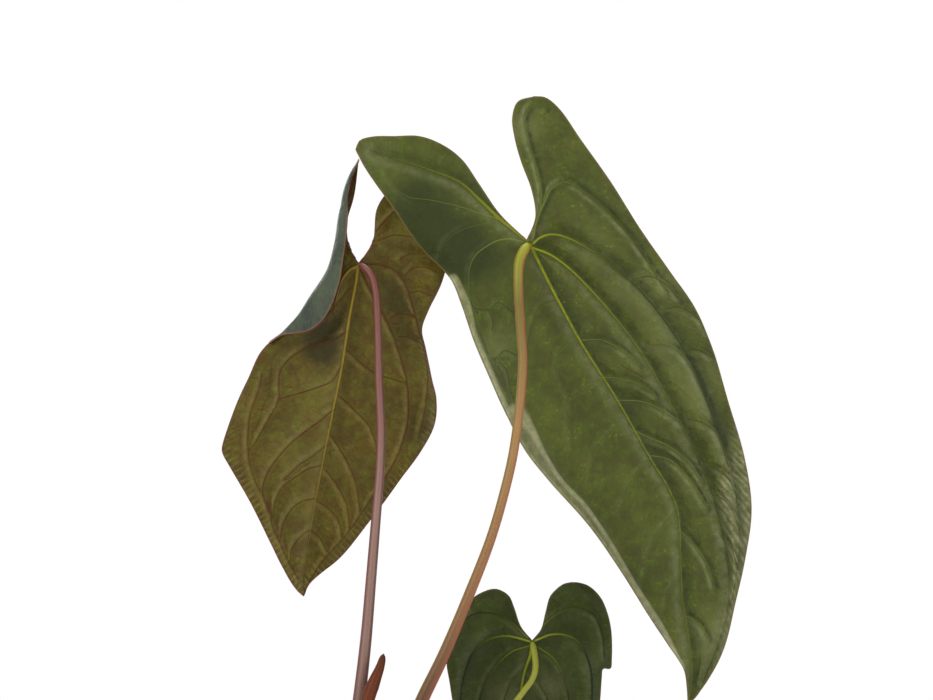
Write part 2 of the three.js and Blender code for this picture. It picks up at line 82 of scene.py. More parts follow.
LARGE_LEAF = {
    "name": "leaf_large",
    "attachment": (80, 11, 408.5),
    "midrib": route(
        "0,0 9,-18 22.5,-43 39.5,-70 54,-95.5 63,-110.5 67,-121 68,-140 69,-160 72,-180 73,-195 71.5,-207"),
    "lean": route("66,-9 30,-5 0,0 -60,17 -116,31 -160,34 -207,35"),
    "camber": 7, "rib_fold": 3.4, "turn": 0.55, "wave": 1.2,
    "left": {
        "rib": route("0,0 -7,6.5 -14.5,12 -25,21 -38,29.5 -54,36.5 -67.5,41 -78.3,42.5"),
        "sinus": route(
            "-1.5,2 -13.5,13.5 -22.5,26.5 -30.5,38 -39,44.5 -49.5,48.5 -61,48.5 -70.5,48.3 -76.5,46.5 "
            "-78.3,42.5"),
        "margin": route(
            "-78.3,42.5 -74,34.5 -63,18.5 -49.5,-1 -35.5,-15.7 -30.5,-27.5 -25.2,-43 -18.3,-59 "
            "-11.4,-74.5 -2,-92.5 9,-106.5 27.3,-127.2 40.5,-146 54,-167.5 63,-181 69.5,-191.5 71,-200 "
            "71.5,-207"),
        "shoulder": (0.24, 0.37), "vein_fold": 0.4, "turned_edge": 3,
    },
    "right": {
        "rib": route("0,0 3,8 5.5,16 6,25 3.5,35.5 1,47 .5,56.5 2,66.4"),
        "sinus": route("-1.5,2 2,10 2.5,14.5 .5,25 -4,37 -6.9,47.5 -8,57 -5.5,64 2,66.4"),
        "margin": route(
            "2,66.4 7,65.8 13.4,60.4 22.5,47.5 36,28.5 49.5,7 63,-12 74,-28 82.5,-47.5 89.2,-70 97,-97 "
            "100,-119.5 97,-142 93,-160 87.5,-182 80.5,-196 74,-205 71.5,-207"),
        "shoulder": (0.22, 0.38), "vein_fold": 1.8, "turned_edge": 0.5,
    },
    # Each rib or vein: its route | its widths along it | how strong its colour is along it
    "ribs": veins("""
    0,0 9,-18 22.5,-43 39.5,-70 54,-95.5 63,-110.5 67,-121 68,-140 69,-160 72,-180 73,-195 71.5,-207 | 1.4
    .7 .45 .35 | .95 .7 .5 .25;
    1,-1.5 9,-4.5 18,-11 27,-20 36,-30 49.5,-47.5 63,-71 72,-88 80,-106 85.5,-124 90,-149 88,-171.5 82,-191
    | 1 .5 .55 .65 .5 | 1 .75 .5 .3 .1 0 0 0;
    1.5,.5 4.5,3 10,4.5 18,2.5 36,-8.5 54,-26 72,-52 82,-77 90.5,-99.5 94.5,-128.5 92,-155.5 85.5,-178
    78.5,-197 | 1.1 .6 .6 .45 | 1 .15 0 0 0 0 0 0 0;
    -1.5,2 -7,6.5 -13.5,11.5 -22.5,20 -31.5,28 -45,33.5 -58.5,38 -70,41.5 | 2 1 .5 | .9 .4 .1"""),
    "veins": veins("""
    1.5,2.5 2.5,8.5 4.5,14.5 7,20 9.5,25 16,28 27,21.5 45,3.5 61,-20.5 | .99 .25 | .7 .25 0;
    4.5,14.5 5,24.5 2.5,35.5 -1,47 -2.5,56.5 .5,62 7,61 | .62 .25 | .6 .3;
    -13.5,11.5 -22.5,14 -31.5,17 -45,20 -55,21.5 -60.5,26 -65,32.5 | .74 .31 | .7 .3;
    -2.5,1 -9,2.5 -13.5,2 -19,-.5 -25,-5.5 -27.5,-14 -26.5,-25 -23,-38.5 -17,-53 -9,-69.5 | .93 .31 | .9 .2
    0;
    -11,10 -22.5,9 -32.5,5.5 -38.5,.5 -40.5,-5.5 | .56 .25 | .5 .2;
    39.5,-70 49.5,-70.5 56,-72.5 63,-77 68.5,-81 | .74 .37 | .6 .6 .3;
    46.5,-83.5 54,-87 63,-91 72,-98.5 77.5,-107 | .74 .37 | .6 .6 .3;
    55,-95 63,-97 72,-106 80,-119 | .68 .31 | .6 .6 .3;
    67,-128.5 72,-133 76.5,-138.5 80,-144.5 83.5,-155.5 | .62 .31 | .6 .6 .3;
    71,-167.5 76.5,-171.5 80.5,-178 | .56 .25 | .6 .6 .3;
    31.5,-59.5 41.5,-60.5 49.5,-63 57,-68.5 | .62 .31 | .6 .6 .3;
    22.5,-43 32.5,-43 41.5,-47.5 49.5,-55 | .62 .31 | .6 .6 .3;
    21,-43.8 14.3,-47 12,-53.6 13.4,-61.2 17.6,-69.6 17.2,-82 19,-92 | .7 .4 | .4 .3;
    32.6,-60.7 24.7,-65.8 17.6,-69.6 | .65 .5 | .4 .3;
    43.5,-80.4 35.5,-86 29,-94.5 26.5,-106 | .65 .4 | .4 .3;
    53,-97 47.5,-104 42.5,-114.5 40.5,-124 | .65 .4 | .4 .3;
    65,-121 56,-133 52.5,-143 51,-153.5 | .65 .4 | .4 .3;
    67.5,-149 63,-156.5 60.5,-165.5 | .55 .4 | .4 .3;
    51.8,-45.7 60.3,-45.2 66.8,-48 71.5,-53.6 76.1,-63 82,-76 | .6 .5 | .4 0;
    70.5,-79 77,-80 83.3,-84 87.4,-92.7 89.8,-100.7 | .6 .5 | .2 0;
    78.5,-100 83.3,-100.7 89,-104.7 92.2,-110.3 93.4,-116 | .6 .5 | .2 0;
    83.3,-112.7 88.2,-116 92.2,-121.6 94.6,-129.5 | .6 .5 | .2 0;
    86.2,-131 91.4,-138.5 93.5,-144.8 | .6 .5 | .2 0;
    46.2,-16.2 53.7,-14.3 61.2,-18 66.8,-24.6 | .55 .4 | .2 0;
    60.3,-29.2 66.8,-28.3 75.3,-33 80,-40.5 | .55 .4 | .2 0;
    69.7,-48 76.2,-47.6 81.9,-50.8 | .55 .4 | .2 0;
    11.5,-25 4.5,-28 1,-36.5 -1.5,-48.5 | .62 .31 | .3 0;
    -26.5,-20 -25.6,-27.6 -18.4,-29.2 -14.4,-26 -8,-30 | .5 .4 | .1 0;
    -18.4,-29.2 -16.4,-34.8 -16.8,-38.8 | .5 .4 | .1 0;
    -23.2,-36.4 -20,-44.5 -17.2,-50.8 -14.8,-50.8 -11.2,-47.7 -5.5,-50 | .5 .4 | .1 0;
    -17.2,-51.7 -12,-54 -9.5,-58.9 -8.7,-65.3 -6.3,-72 | .5 .4 | .1 0"""),
    # Lines from which the margin is turned back: route | how far it is turned | how far its rungs show
    "creases": veins("""
    -29,-19 -25,-29.5 -23.5,-39 -17.5,-53 -11,-68 -6.5,-77 -1,-86 | .6 1 1 1 1 0 | .2;
    -2,-68 3,-81.5 9,-95 16,-106 26,-116.5 37,-132.5 49.5,-153.5 60.5,-170.5 70,-188 | 0 .6 1 1 1 1 1 1 .5 |
    .15;
    84,-62 88,-80 86.5,-98 83.5,-108 84.5,-122 89,-146 87.5,-160 84,-175 79,-190 | 0 .2 .45 .8 .8 .8 .8 .7
    .3 | 1"""),
    # Deeper (below 0) and paler (above 0) green: place, reach and strength. They are partly the leaf's own
    # tone and partly painted: the deep patches on the left lobe are painted shade, and paler ones on the
    # right half are painted light and sheen
    "patches": route(
        "-45,4,20,-.9 -27,-4,13,-1 -52,26,16,-.5 32,-44,8,-.5 48,-72,9,-.6 60,-94,9,-.5 -15,-46,11,.5 "
        "-66,40,12,.5 50,-142,24,-.15 62,-22,14,.4 80,-57,12,.4 72,-110,9,.3 84,-175,14,.5 -2,52,9,.6 "
        "38,-22,9,.3 58,-45,12,.4 74,-74,12,.4 -4,-14,10,-.3 88,-92,9,.3 28,1,13,.35 72,-186,9,.3 "
        "54,-20,9,.3 62,-61,9,.3"),
    "stalk": {
        "path": route(
            "5.8,-.6,118 6.6,-.8,128 11,-1,147 20,-1.5,175 31.3,-2,203.4 41,-2,223.6 52.4,-1,250.6 "
            "62.8,0,277.6 69.8,1,302.4 72.7,1.5,316 75.6,2,338.5 76.7,2.5,356.4 75.6,3,374.4 74.7,4,392 "
            "75.4,6.2,401.5 78.2,9.2,407 80,11.2,408.5"),
        "radii": [3.3, 3.2, 3, 2.5, 2.2, 2.1, 2.1, 2.3],
    },
}

LEFT_LEAF = {
    "name": "leaf_left",
    "attachment": (3, 25, 399.5),
    "midrib": route(
        "0,0 -1.5,-9.5 -4,-23 -7.5,-45.5 -11.5,-65.5 -16.5,-90.5 -21,-115 -23.5,-131 -25,-142 "
        "-24.8,-149.5"),
    "lean": route("47,4 20,1 0,0 -40,6 -85,13 -125,17 -150,15"),
    "camber": 5, "rib_fold": 2.6, "turn": 0.4, "wave": 2,
    "left": {
        "rib": route("0,0 -2.5,4.5 -5,11 -6,19 -5.5,26.5 -4,34 -2,41.5 0,47"),
        "sinus": route("0,.8 -3,5 -5,12 -5,20 -2.5,29 -1.5,34 -.5,42.5 0,47"),
        "margin": route(
            "0,47 -2.5,38.5 -4.5,26.5 -5,17.5 -7,2 -9,-9.5 -15,-23.5 -22,-29.5 -36,-32.5 -43.5,-38.5 "
            "-50.2,-52 -56.5,-66.5 -61.8,-82.5 -61.5,-85 -57.5,-92.3 -49.3,-106.6 -40,-125 -33.5,-138.2 "
            "-28,-146.8 -24.8,-149.5"),
        "shoulder": (0.22, 0.33), "vein_fold": 2, "turned_edge": 1.5,
        "roll": route("0,47 -3.8,37 -8.2,24.5 -10.6,9.5 -14,-2.5 -22,-15 -27.5,-23.5 -36,-32.5"),
        "roll_end": 0.44, "roll_radius": 4,
    },
    "right": {
        "rib": route("0,0 5,7.2 9,15 13.5,23.5 20,31 27.5,37.5"),
        "sinus": route("0,.8 3,4.5 6.5,11 8,24.5 12,31.5 18.5,37 27.5,38.5"),
        "margin": route(
            "27.5,38.5 35,30.5 39,15.5 39.5,1 37,-9 31.5,-20.5 28.5,-29 30,-38 32.5,-50 35,-61 34,-72 "
            "27.7,-84.5 18.5,-97 5,-115.5 -8.5,-132 -22,-143.7 -24.8,-149.5"),
        "shoulder": (0.15, 0.28), "vein_fold": 2, "turned_edge": 1.5,
    },
    "ribs": veins("""
    0,0 -1.5,-9.5 -4,-23 -7.5,-45.5 -11.5,-65.5 -16.5,-90.5 -21,-115 -23.5,-131 -25,-142 -24.5,-149.5 | 1.3
    1 .7 .3 | .9 .8 .5 .1;
    -.5,-1 -4,-2.5 -7.5,-7 -9.5,-13 -11,-21.5 | 1.15 .36 | 1 .8 .3"""),
    "veins": veins("""
    -4.5,-29.5 -10.5,-33.5 -22,-37 -30,-41.5 -35,-47.5 -36,-54.5 -36,-60.5 -40,-68.5 -45,-77.5 -49,-83.5 |
    .54 .37 | .8 .8;
    -7.5,-45.5 -12,-52.5 -17.5,-55 -27,-58 -36,-60.5 | .54 .48 | .8 .8;
    -11.5,-65.5 -17.5,-70.5 -22.5,-74 -32,-82 -40,-92 -43.5,-101.5 -40.5,-111.5 | .54 .37 | .8 .8;
    -14.5,-81.5 -21,-86.5 -26.5,-90 -33.5,-96.5 | .4 .26 | .8 .8;
    -17,-90.5 -22.5,-92 -27.5,-95 -34,-100 -37.5,-106 -39,-115 | .5 .31 | .8 .8;
    -19.5,-105.5 -25,-106.5 -30.5,-110.5 -34,-117 -35.5,-124 | .45 .31 | .8 .8;
    -22,-119.5 -27,-123.5 -30.5,-129.5 -31,-135.5 | .4 .26 | .8 .8;
    -43.5,-50 -45,-56.5 -49,-68 -50,-81.5 -49,-90.5 -45.5,-100 -40.5,-108.5 -39,-117.5 -35,-126.5 -31,-135.5
    -27,-142 | .4 .31 | .8 .8;
    .5,-2.5 5,-11.5 12,-24.5 16,-33.5 19,-42.5 21.5,-52 22,-70 18,-84.5 11.5,-96.5 3.5,-108.5 -6,-122
    -16.5,-134 -22.5,-143 | .7 .31 | .8 .8;
    1.5,.5 9.5,0 16.5,-3 20.5,-8 23,-14.5 25.5,-23 29,-38.5 31,-52 30,-63.5 27,-77.5 | .65 .26 | .8 .8;
    1,1 3.5,6.5 6,12.5 9.5,17 14,22 19.5,26.5 27,30 | .79 .31 | .8 .8;
    5,10.5 9.5,11 15,13 22.5,12.5 31.5,9.5 | .5 .31 | .8 .8;
    -5.5,-38.5 .5,-44 7.5,-49 15,-51.5 20.5,-53 | .5 .37 | .8 .8;
    -9,-59 -3,-64.5 4.5,-72.5 8,-81.5 | .5 .31 | .8 .8;
    -12.5,-77 -6,-87.5 -1.5,-98 .5,-110.5 | .5 .31 | .8 .8;
    -15,-92.5 -9.5,-100 -5.5,-108.5 -4,-119 | .45 .31 | .8 .8;
    -18,-107 -13,-110.5 -9,-116 -7.5,-124 | .4 .26 | .8 .8;
    -21.5,-120 -17.5,-123.5 -14.5,-129.5 | .4 .26 | .8 .8;
    -1.5,-9.5 -5.5,-12.5 -9,-17 -14.5,-23.5 | .45 .26 | .8 .8;
    18.8,2.6 23.1,4.5 30.8,4.8 | .45 .4 | .8 .6;
    20.4,-5.6 24.2,-1.8 29.7,-1.2 34.7,-3.4 | .45 .4 | .8 .6;
    23.1,-12.7 27.5,-12.1 31.9,-13.9 | .45 .4 | .8 .6;
    14.4,-24 18.8,-22.1 26.4,-23.7 | .45 .4 | .8 .6;
    17.7,-32.5 23.1,-33 27,-35.2 | .45 .4 | .8 .6"""),
    "creases": veins("""
    25,-22 25.5,-34 28,-48 30.5,-60 28.5,-72 21,-86 | 0 1 1 1 .6 0 | 1"""),
    # Deeper and paler green; the deep patches under the rolled lobe and at the upper right are painted
    # shadow, cast by the rolled lobe and by the large leaf
    "patches": route(
        "18,-12,15,-.6 22,-61,18,-.2 -17,-37,9,-1.4 -12,-26,7,-.8 -22,-62,12,.3 18,15,7,.35 29,20,9,.5 "
        "30,-28,14,-.25 -15,-53,8,.45 31,-8,8,.5 27,-50,10,.4 -30,-85,12,.4 -10,-90,9,.3 -28,-110,10,.3"),
    "stalk": {
        "path": route(
            "-4.6,0,118 -4.8,0,128 -3.6,.8,147 -.6,2.2,175 3.2,4,203.4 6.3,6,230.4 8.6,8,257.4 "
            "10.8,10.5,284.4 12.6,12.5,307 13.1,14,325 12.2,15.5,347.4 11.5,17.5,374.4 10.6,19,388 "
            "8.6,20.6,394.8 5,23.2,398.3 3,25.2,399.5"),
        "radii": [3.2, 3.2, 2.9, 2.5, 2.2, 2, 1.8, 1.8],
    },
}

SMALL_LEAF = {
    "name": "leaf_small",
    "attachment": (81, 17, 229.5),
    "midrib": route("0,0 -1,-6 -3.5,-13.5 -5,-22.5 -4.5,-39.5 0,-66.5 5.5,-84.5"),
    "lean": route("30,5 12,1.5 0,0 -40,9 -85,17"),
    "camber": 4.5, "rib_fold": 2.4, "turn": 0.3, "wave": 1.2,
    "left": {
        "rib": route("0,0 -5.5,3.5 -12,9 -18,15.5 -22,22.7"),
        "sinus": route("0,1 -5,7 -8,15.5 -10.5,21 -15.5,23.9 -19,23.8 -22,22.7"),
        "margin": route(
            "-22,22.7 -24.8,21.2 -28,18.3 -33,10.5 -37.4,-3.5 -38.4,-9 -37,-18 -34,-33 -26,-51 -12.5,-71 "
            "-1,-82.5 5.5,-84.5"),
        "shoulder": (0.16, 0.34), "vein_fold": 1.5, "turned_edge": 1.5,
    },
    "right": {
        "rib": route("0,0 4.5,5.5 10.5,11.5 15,18.5 17.3,27"),
        "sinus": route("0,1 4,6 6,13.5 8,20.5 11,24 14.3,26.3 17.3,27"),
        "margin": route(
            "17.3,27 20.3,26.9 25.5,25.2 30.6,20.5 33.4,14.5 35.5,5.5 35.8,-7.5 35.2,-11.6 31.8,-12 "
            "31.2,-16 30.5,-26 27,-44 19,-64.5 10,-80 5.5,-84.5"),
        "shoulder": (0.16, 0.34), "vein_fold": 1.5, "turned_edge": 1.5,
    },
    "ribs": veins("""
    0,0 -1,-6 -3.5,-13.5 -5,-22.5 -4.5,-39.5 0,-66.5 5.5,-84.5 | 1.12 .35 | 1 .4 .05 0;
    -1,.5 -8,2.5 -12.5,3 -20.5,1 -27,-5.5 -30.5,-15 -32,-26 -31.5,-42 -26,-60 -14.5,-74.5 | .91 .35 | .9 .35
    0 0 0 0 0 0;
    1.5,1 8,3.5 14.5,3.5 20,1 25,-7 27,-21.5 25,-39.5 19,-62 12.5,-75.5 | .91 .35 | .9 .35 0 0 0 0 0 0"""),
    "veins": veins("""
    -1.5,-1.5 -9,-4 -15.5,-9.5 -20.5,-17 -24,-28.5 -24.5,-44 -18,-62 | .77 .35 | .9 .3 0 0 0;
    -2,2 -10,9.5 -17.5,13 -25.5,13 -31.5,9 | .77 .35 | .9 .3 0 0;
    2.5,-2 9,-6.5 13.5,-13.5 16.5,-25 17,-44 12.5,-64.5 | .77 .35 | .9 .3 0 0 0;
    .5,2 7,9.5 13.5,14 20,15.5 27.5,12.5 31.5,3 32.5,-6.5 | .77 .35 | .9 .3 0 0;
    -2.5,-10.5 -8,-16 -12.5,-26 -14.5,-39.5 | .63 .35 | .3 0;
    -4.5,-26 -9,-35 -11,-51 | .56 .28 | .3 0;
    -2.5,-11.5 3.5,-19 8,-28.5 9,-42 | .63 .35 | .3 0;
    -5,-28.5 .5,-37.5 4,-51 | .56 .28 | .3 0"""),
    "creases": [],
    # Deeper and paler green; the two paler patches beside the midrib are painted sheen
    "patches": route("9,-20,8,.6 -13,-24,8,.6 24,14,9,-.2 26,-10,6,.4 -6,-52,12,.3"),
    "stalk": {
        "path": route(
            "2.6,5.6,118 3.2,6,127 9.6,6.6,133 20,7,143.5 36,8,160 52,9,177 66,9.6,193.5 73.8,10,203.4 "
            "77.9,10.5,208.8 80.6,11,212.4 82.1,11.8,216 82.5,12.6,220 82,13.8,224.5 81.3,15.6,228.2 "
            "81,17.2,229.5"),
        "radii": [2.3, 2.1, 1.8, 1.6, 1.45, 1.35, 1.3, 1.5],
    },
}

# New shoot, stem, mix and pot

SHOOT = {
    "path": route(
        "1,-5.8,118 1.2,-5.8,130 2,-5.4,150 4,-4.8,178 7.1,-4.2,203.4 10.2,-3.8,212.4 12.8,-3.4,219 "
        "14.4,-3.2,225"),
    "radii": [2.7, 2.8, 3, 3.1, 3.2, 3.2, 3, 1.3],
}

# Roots that leave the stem above the mix: heading in degrees, height and reach
AERIAL_ROOTS = [(200, 113, 19), (285, 110, 22), (335, 115, 25), (60, 112, 21), (130, 116, 23)]
ROOT_RADIUS = 1.9

STEM = {"bottom": 62, "top": 128, "radius": 8, "head_radius": 10.5, "scars": 4}
MIX = {"surface": 99, "crown": 4, "roughness": 1.6}
POT = {"height": 112, "top_radius": 62, "base_radius": 45, "wall": 1.8, "floor": 3, "rim_height": 12,
       "rim_proud": 2.4, "drain_holes": 6, "drain_radius": 4, "drain_circle": 28}
GAP = 0.3

# Looks

# In a look, three numbers are a colour as it looks on a screen, and a single number under one of these
# names is a share of the leaf's ground colour
COLOUR_NAMES = {"lit", "crease", "deep", "pale", "dark", "light", "blotch", "speck", "stroke", "net", "band",
                "shade", "vein", "rib", "edge"}
# In the looks, the strengths of light and shade beside ribs and veins are of painted highlight and painted
# shade, lit is a painted highlight and shade is painted shade
BACK = dict(
    specular=0.16, slant=0.3, relief=0.0008, fringe_share=0.0, dark=0.8, light=1.25, blotch_share=0.45,
    specks=0.35, stroke=0.6, stroke_share=0.3, stroke_rise=0.5, net_share=0.25, net_rise=-0.3, sheen=0.0,
    roughness=0.46)
LARGE_BACK = BACK | dict(
    ladder=76, slant=0.9, net_scale=0.13, pillow=0.25, relief=0.0007, fringe_share=0.05, rib_relief=0.9,
    vein_relief=1.8, lit=(102, 106, 72), crease=(38, 46, 14), crease_share=0.7, deep=(30, 38, 4),
    pale=(99, 104, 56), dark=0.82, blotch=(62, 80, 14), speck=(112, 128, 22), net=0.55,
    band=(152, 150, 112), band_share=0.68, shade=(38, 46, 14), shade_share=0.68,
    vein=(100, 108, 44), vein_share=0.85, rib=(116, 122, 14), rib_share=0.9, edge=(96, 78, 44))
LEFT_BACK = BACK | dict(
    ladder=88, net_scale=0.17, pillow=0.35, fringe_share=0.35, rib_relief=0.4, vein_relief=0.85,
    lit=(116, 105, 56), crease=(56, 30, 14), crease_share=0.5, deep=(36, 30, 0), pale=(102, 98, 36),
    light=1.3, blotch=(72, 76, 12), blotch_share=0.6, speck=(104, 98, 28), specks=0.4, stroke=0.65,
    stroke_rise=0.4, net=(56, 30, 10), net_share=0.5, net_rise=0.25, band=(128, 122, 90), band_share=0.4,
    shade=(70, 56, 18), shade_share=0.35, vein=(74, 24, 18), vein_share=0.9, rib=(126, 106, 30),
    rib_share=0.95, edge=(88, 44, 36), roughness=0.48)
SMALL_BACK = BACK | dict(
    specular=0.14, ladder=70, net_scale=0.18, pillow=0.3, rib_relief=0.6, vein_relief=1.2,
    lit=(80, 86, 56), crease=(16, 22, 5), crease_share=0.9, deep=(22, 28, 3), pale=(78, 78, 48),
    blotch=(38, 54, 10), speck=(70, 84, 20), net=0.6, band=(100, 104, 60), band_share=0.3,
    shade=(30, 38, 14), shade_share=0.4, vein=(92, 98, 14), vein_share=0.8, rib=(118, 124, 14),
    rib_share=0.9, edge=(70, 56, 34))
# The dark velvety upper side of a blade, with paler veins
FACE = dict(
    specular=0.22, ladder=100, slant=0.45, net_scale=0.16, pillow=0.3, relief=0.0007, fringe_share=0.1,
    rib_relief=0.5, vein_relief=0.4, lit=1.6, crease=0.5, crease_share=0.4, deep=0.5, pale=1.7, dark=0.8,
    light=1.3, blotch=1.6, blotch_share=0.3, speck=(64, 84, 52), specks=0.3, stroke=1.5, stroke_share=0.3,
    stroke_rise=0.4, net=(66, 92, 60), net_share=0.25, net_rise=-0.4, band=1.5, band_share=0.3, shade=0.6,
    shade_share=0.3, vein=(92, 116, 78), vein_share=0.6, rib=(150, 166, 112), rib_share=0.85,
    edge=(86, 60, 44), sheen=0.35, roughness=0.6)
LEFT_FACE = FACE | dict(
    dark=(38, 45, 34), light=(62, 68, 50), edge=(104, 74, 54), stroke=(88, 92, 76), stroke_share=0.15,
    net_share=0.12, roughness=0.42)
# Stalks: colours along them from foot to top, of their streaks and dots, and of their flanks
LARGE_STALK = dict(
    specular=0.35,
    stops=[(0, (66, 32, 14)), (0.28, (73, 42, 13)), (0.5, (118, 82, 42)), (0.72, (132, 101, 54)),
           (0.9, (98, 82, 20)), (0.965, (120, 120, 22)), (1, (134, 144, 18))],
    streak=(140, 92, 62), right=(146, 70, 50), right_share=0.65, left=(112, 88, 40), left_share=0.5,
    dot=(196, 172, 128))
# The left leaf's stalk: its dark flanks are partly its own dark red and partly painted shade along its two
# sides
LEFT_STALK = dict(
    specular=0.35,
    stops=[(0, (88, 50, 42)), (0.25, (108, 82, 70)), (0.6, (118, 90, 80)), (0.8, (104, 66, 54)),
           (1, (92, 48, 36))],
    streak=(116, 76, 68), right=(76, 28, 28), right_share=0.9, left=(84, 34, 32), left_share=0.9,
    dot=(186, 160, 152))
SMALL_STALK = dict(
    specular=0.35,
    stops=[(0, (96, 70, 40)), (0.3, (120, 104, 52)), (0.7, (126, 122, 24)), (1, (104, 110, 10))],
    streak=(120, 108, 52), right=(120, 118, 40), right_share=0.4, left=(112, 120, 30), left_share=0.4,
    dot=(176, 182, 104))
SHOOT_SKIN = dict(
    specular=0.15,
    stops=[(0, (84, 52, 22)), (0.4, (88, 40, 13)), (0.9, (84, 37, 11)), (1, (66, 28, 8))],
    streak=(104, 56, 30), right=(62, 22, 12), right_share=0.5, left=(74, 32, 18), left_share=0.5,
    dot=(140, 92, 66))


def srgb(red, green, blue):
    """A colour as it looks on a screen, 0 to 255, as the linear colour that shaders use."""
    def linear(level):
        level /= 255
        return level / 12.92 if level <= 0.04045 else ((level + 0.055) / 1.055) ** 2.4
    return (linear(red), linear(green), linear(blue))


def toned(colour, share):
    return tuple(level * share for level in colour)


def coloured(look, ground=(0, 0, 0)):
    """A look with linear colours, some of them shares of the ground colour."""
    def made(key, value):
        if isinstance(value, tuple):
            return srgb(*value)
        return toned(ground, value) if key in COLOUR_NAMES else value
    return SimpleNamespace(**{key: made(key, value) for key, value in look.items()})


# Smooth curves and frames along them

class Curve:
    """A smooth curve through points, looked up by its share of length from 0 to 1."""

    def __init__(self, points, per_span=40):
        points = np.array(points, float)
        before = 2 * points[0] - points[1]
        after = 2 * points[-1] - points[-2]
        guides = np.vstack([before, points, after])
        gaps = np.sqrt(np.linalg.norm(np.diff(guides, axis=0), axis=1))
        share = np.linspace(0, 1, per_span, endpoint=False)[:, None]
        pieces = []
        for i in range(len(points) - 1):
            a, b, c, d = guides[i:i + 4]
            g0, g1, g2 = gaps[i:i + 3]
            leave = ((b - a) / g0 - (c - a) / (g0 + g1) + (c - b) / g1) * g1
            arrive = ((c - b) / g1 - (d - b) / (g1 + g2) + (d - c) / g2) * g1
            cubic = 2 * b - 2 * c + leave + arrive
            square = 3 * c - 3 * b - 2 * leave - arrive
            pieces.append(b + leave * share + square * share ** 2 + cubic * share ** 3)
        self.dense = np.vstack(pieces + [points[-1:]])
        lengths = np.linalg.norm(np.diff(self.dense, axis=0), axis=1)
        self.reach = np.concatenate([[0], np.cumsum(lengths)])
        self.length = self.reach[-1]

    def at(self, share):
        """Points of the curve for an array of shares of its length."""
        where = np.clip(share, 0, 1) * self.length
        return np.stack([np.interp(where, self.reach, column) for column in self.dense.T], axis=-1)


def smooth_step(low, high, value):
    share = np.clip((value - low) / (high - low), 0, 1)
    return share * share * (3 - 2 * share)


def value_along(values, share):
    return np.interp(share, np.linspace(0, 1, len(values)), values)


def frames_along(curve, count):
    """Points, sideways and upward directions that turn as little as possible along a curve."""
    points = curve.at(np.linspace(0, 1, count))
    tangents = np.gradient(points, axis=0)
    tangents /= np.linalg.norm(tangents, axis=1)[:, None]
    side = np.array([1.0, 0, 0])
    sides = []
    for tangent in tangents:
        side = side - tangent * side.dot(tangent)
        side /= np.linalg.norm(side)
        sides.append(side)
    sides = np.array(sides)
    return points, sides, np.cross(tangents, sides)


# Mesh helpers

def patch_mesh(patches, merge=1e-6):
    """A bmesh of grids, each moved into place by its own rule.

    A patch is (rows, columns, rule). The rule takes arrays of places from 0 to 1 down the rows and
    across the columns, and returns points in metres and a dict of values to keep on the points.
    """
    bm = bmesh.new()
    for rows, columns, rule in patches:
        verts = bmesh.ops.create_grid(bm, x_segments=rows, y_segments=columns, size=0.5)["verts"]
        place = np.array([v.co[:2] for v in verts]) + 0.5
        points, values = rule(np.round(place[:, 0], 7), np.round(place[:, 1], 7))
        layers = [(bm.verts.layers.float.get(key) or bm.verts.layers.float.new(key), kept)
                  for key, kept in values.items()]
        bm.verts.ensure_lookup_table()
        verts = bm.verts[-len(points):]
        for vert, point in zip(verts, points):
            vert.co = point
        for layer, kept in layers:
            for vert, value in zip(verts, kept):
                vert[layer] = value
    bmesh.ops.remove_doubles(bm, verts=bm.verts, dist=merge)
    bmesh.ops.dissolve_degenerate(bm, edges=bm.edges, dist=merge)
    return bm


def mesh_of(bm, name):
    """The mesh that a bmesh becomes."""
    mesh = bpy.data.meshes.new(name)
    bm.to_mesh(mesh)
    bm.free()
    return mesh


def placed(name, data):
    """A new object in the scene."""
    made = bpy.data.objects.new(name, data)
    bpy.context.scene.collection.objects.link(made)
    return made


def finish_piece(bm, name, materials, replaces=(), smooth=True):
    """Turns a bmesh into a piece of the object that rides on the one body."""
    mesh = mesh_of(bm, name)
    for material in materials:
        mesh.materials.append(material)
    if smooth:
        mesh.shade_smooth()
    piece = placed(name, mesh)
    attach(piece, ROOT)
    if replaces:
        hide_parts(*replaces)
    return piece


def closed_piece(name, patches, material, replaces=()):
    """A piece of patches whose seams and poles are closed."""
    bm = patch_mesh(patches, merge=2e-6)
    bmesh.ops.recalc_face_normals(bm, faces=bm.faces)
    return finish_piece(bm, name, [material], replaces)


# Blades

# Rows of the grid for the lobe, the shoulder and the rest of the margin, which runs to the tip
LOBE_ROWS, SHOULDER_ROWS, BLADE_ROWS = 48, 30, 150
COLUMNS, SINUS_COLUMNS = 56, 12
FORWARD_SWEEP = 1.3  # rows leave the midrib further forward than they reach the margin
VEIN_STEP = 0.3  # millimetres between the points that stand for a vein
RIB_REACH, VEIN_REACH = 9, 2.4  # how far from it, in millimetres, the sheet sinks towards a rib or vein
WAVES = 6  # ups and downs of a margin from lobe to tip
OUT_OF_REACH = 9  # added to a vein's distance where the sheet is rolled over, so that none shows there


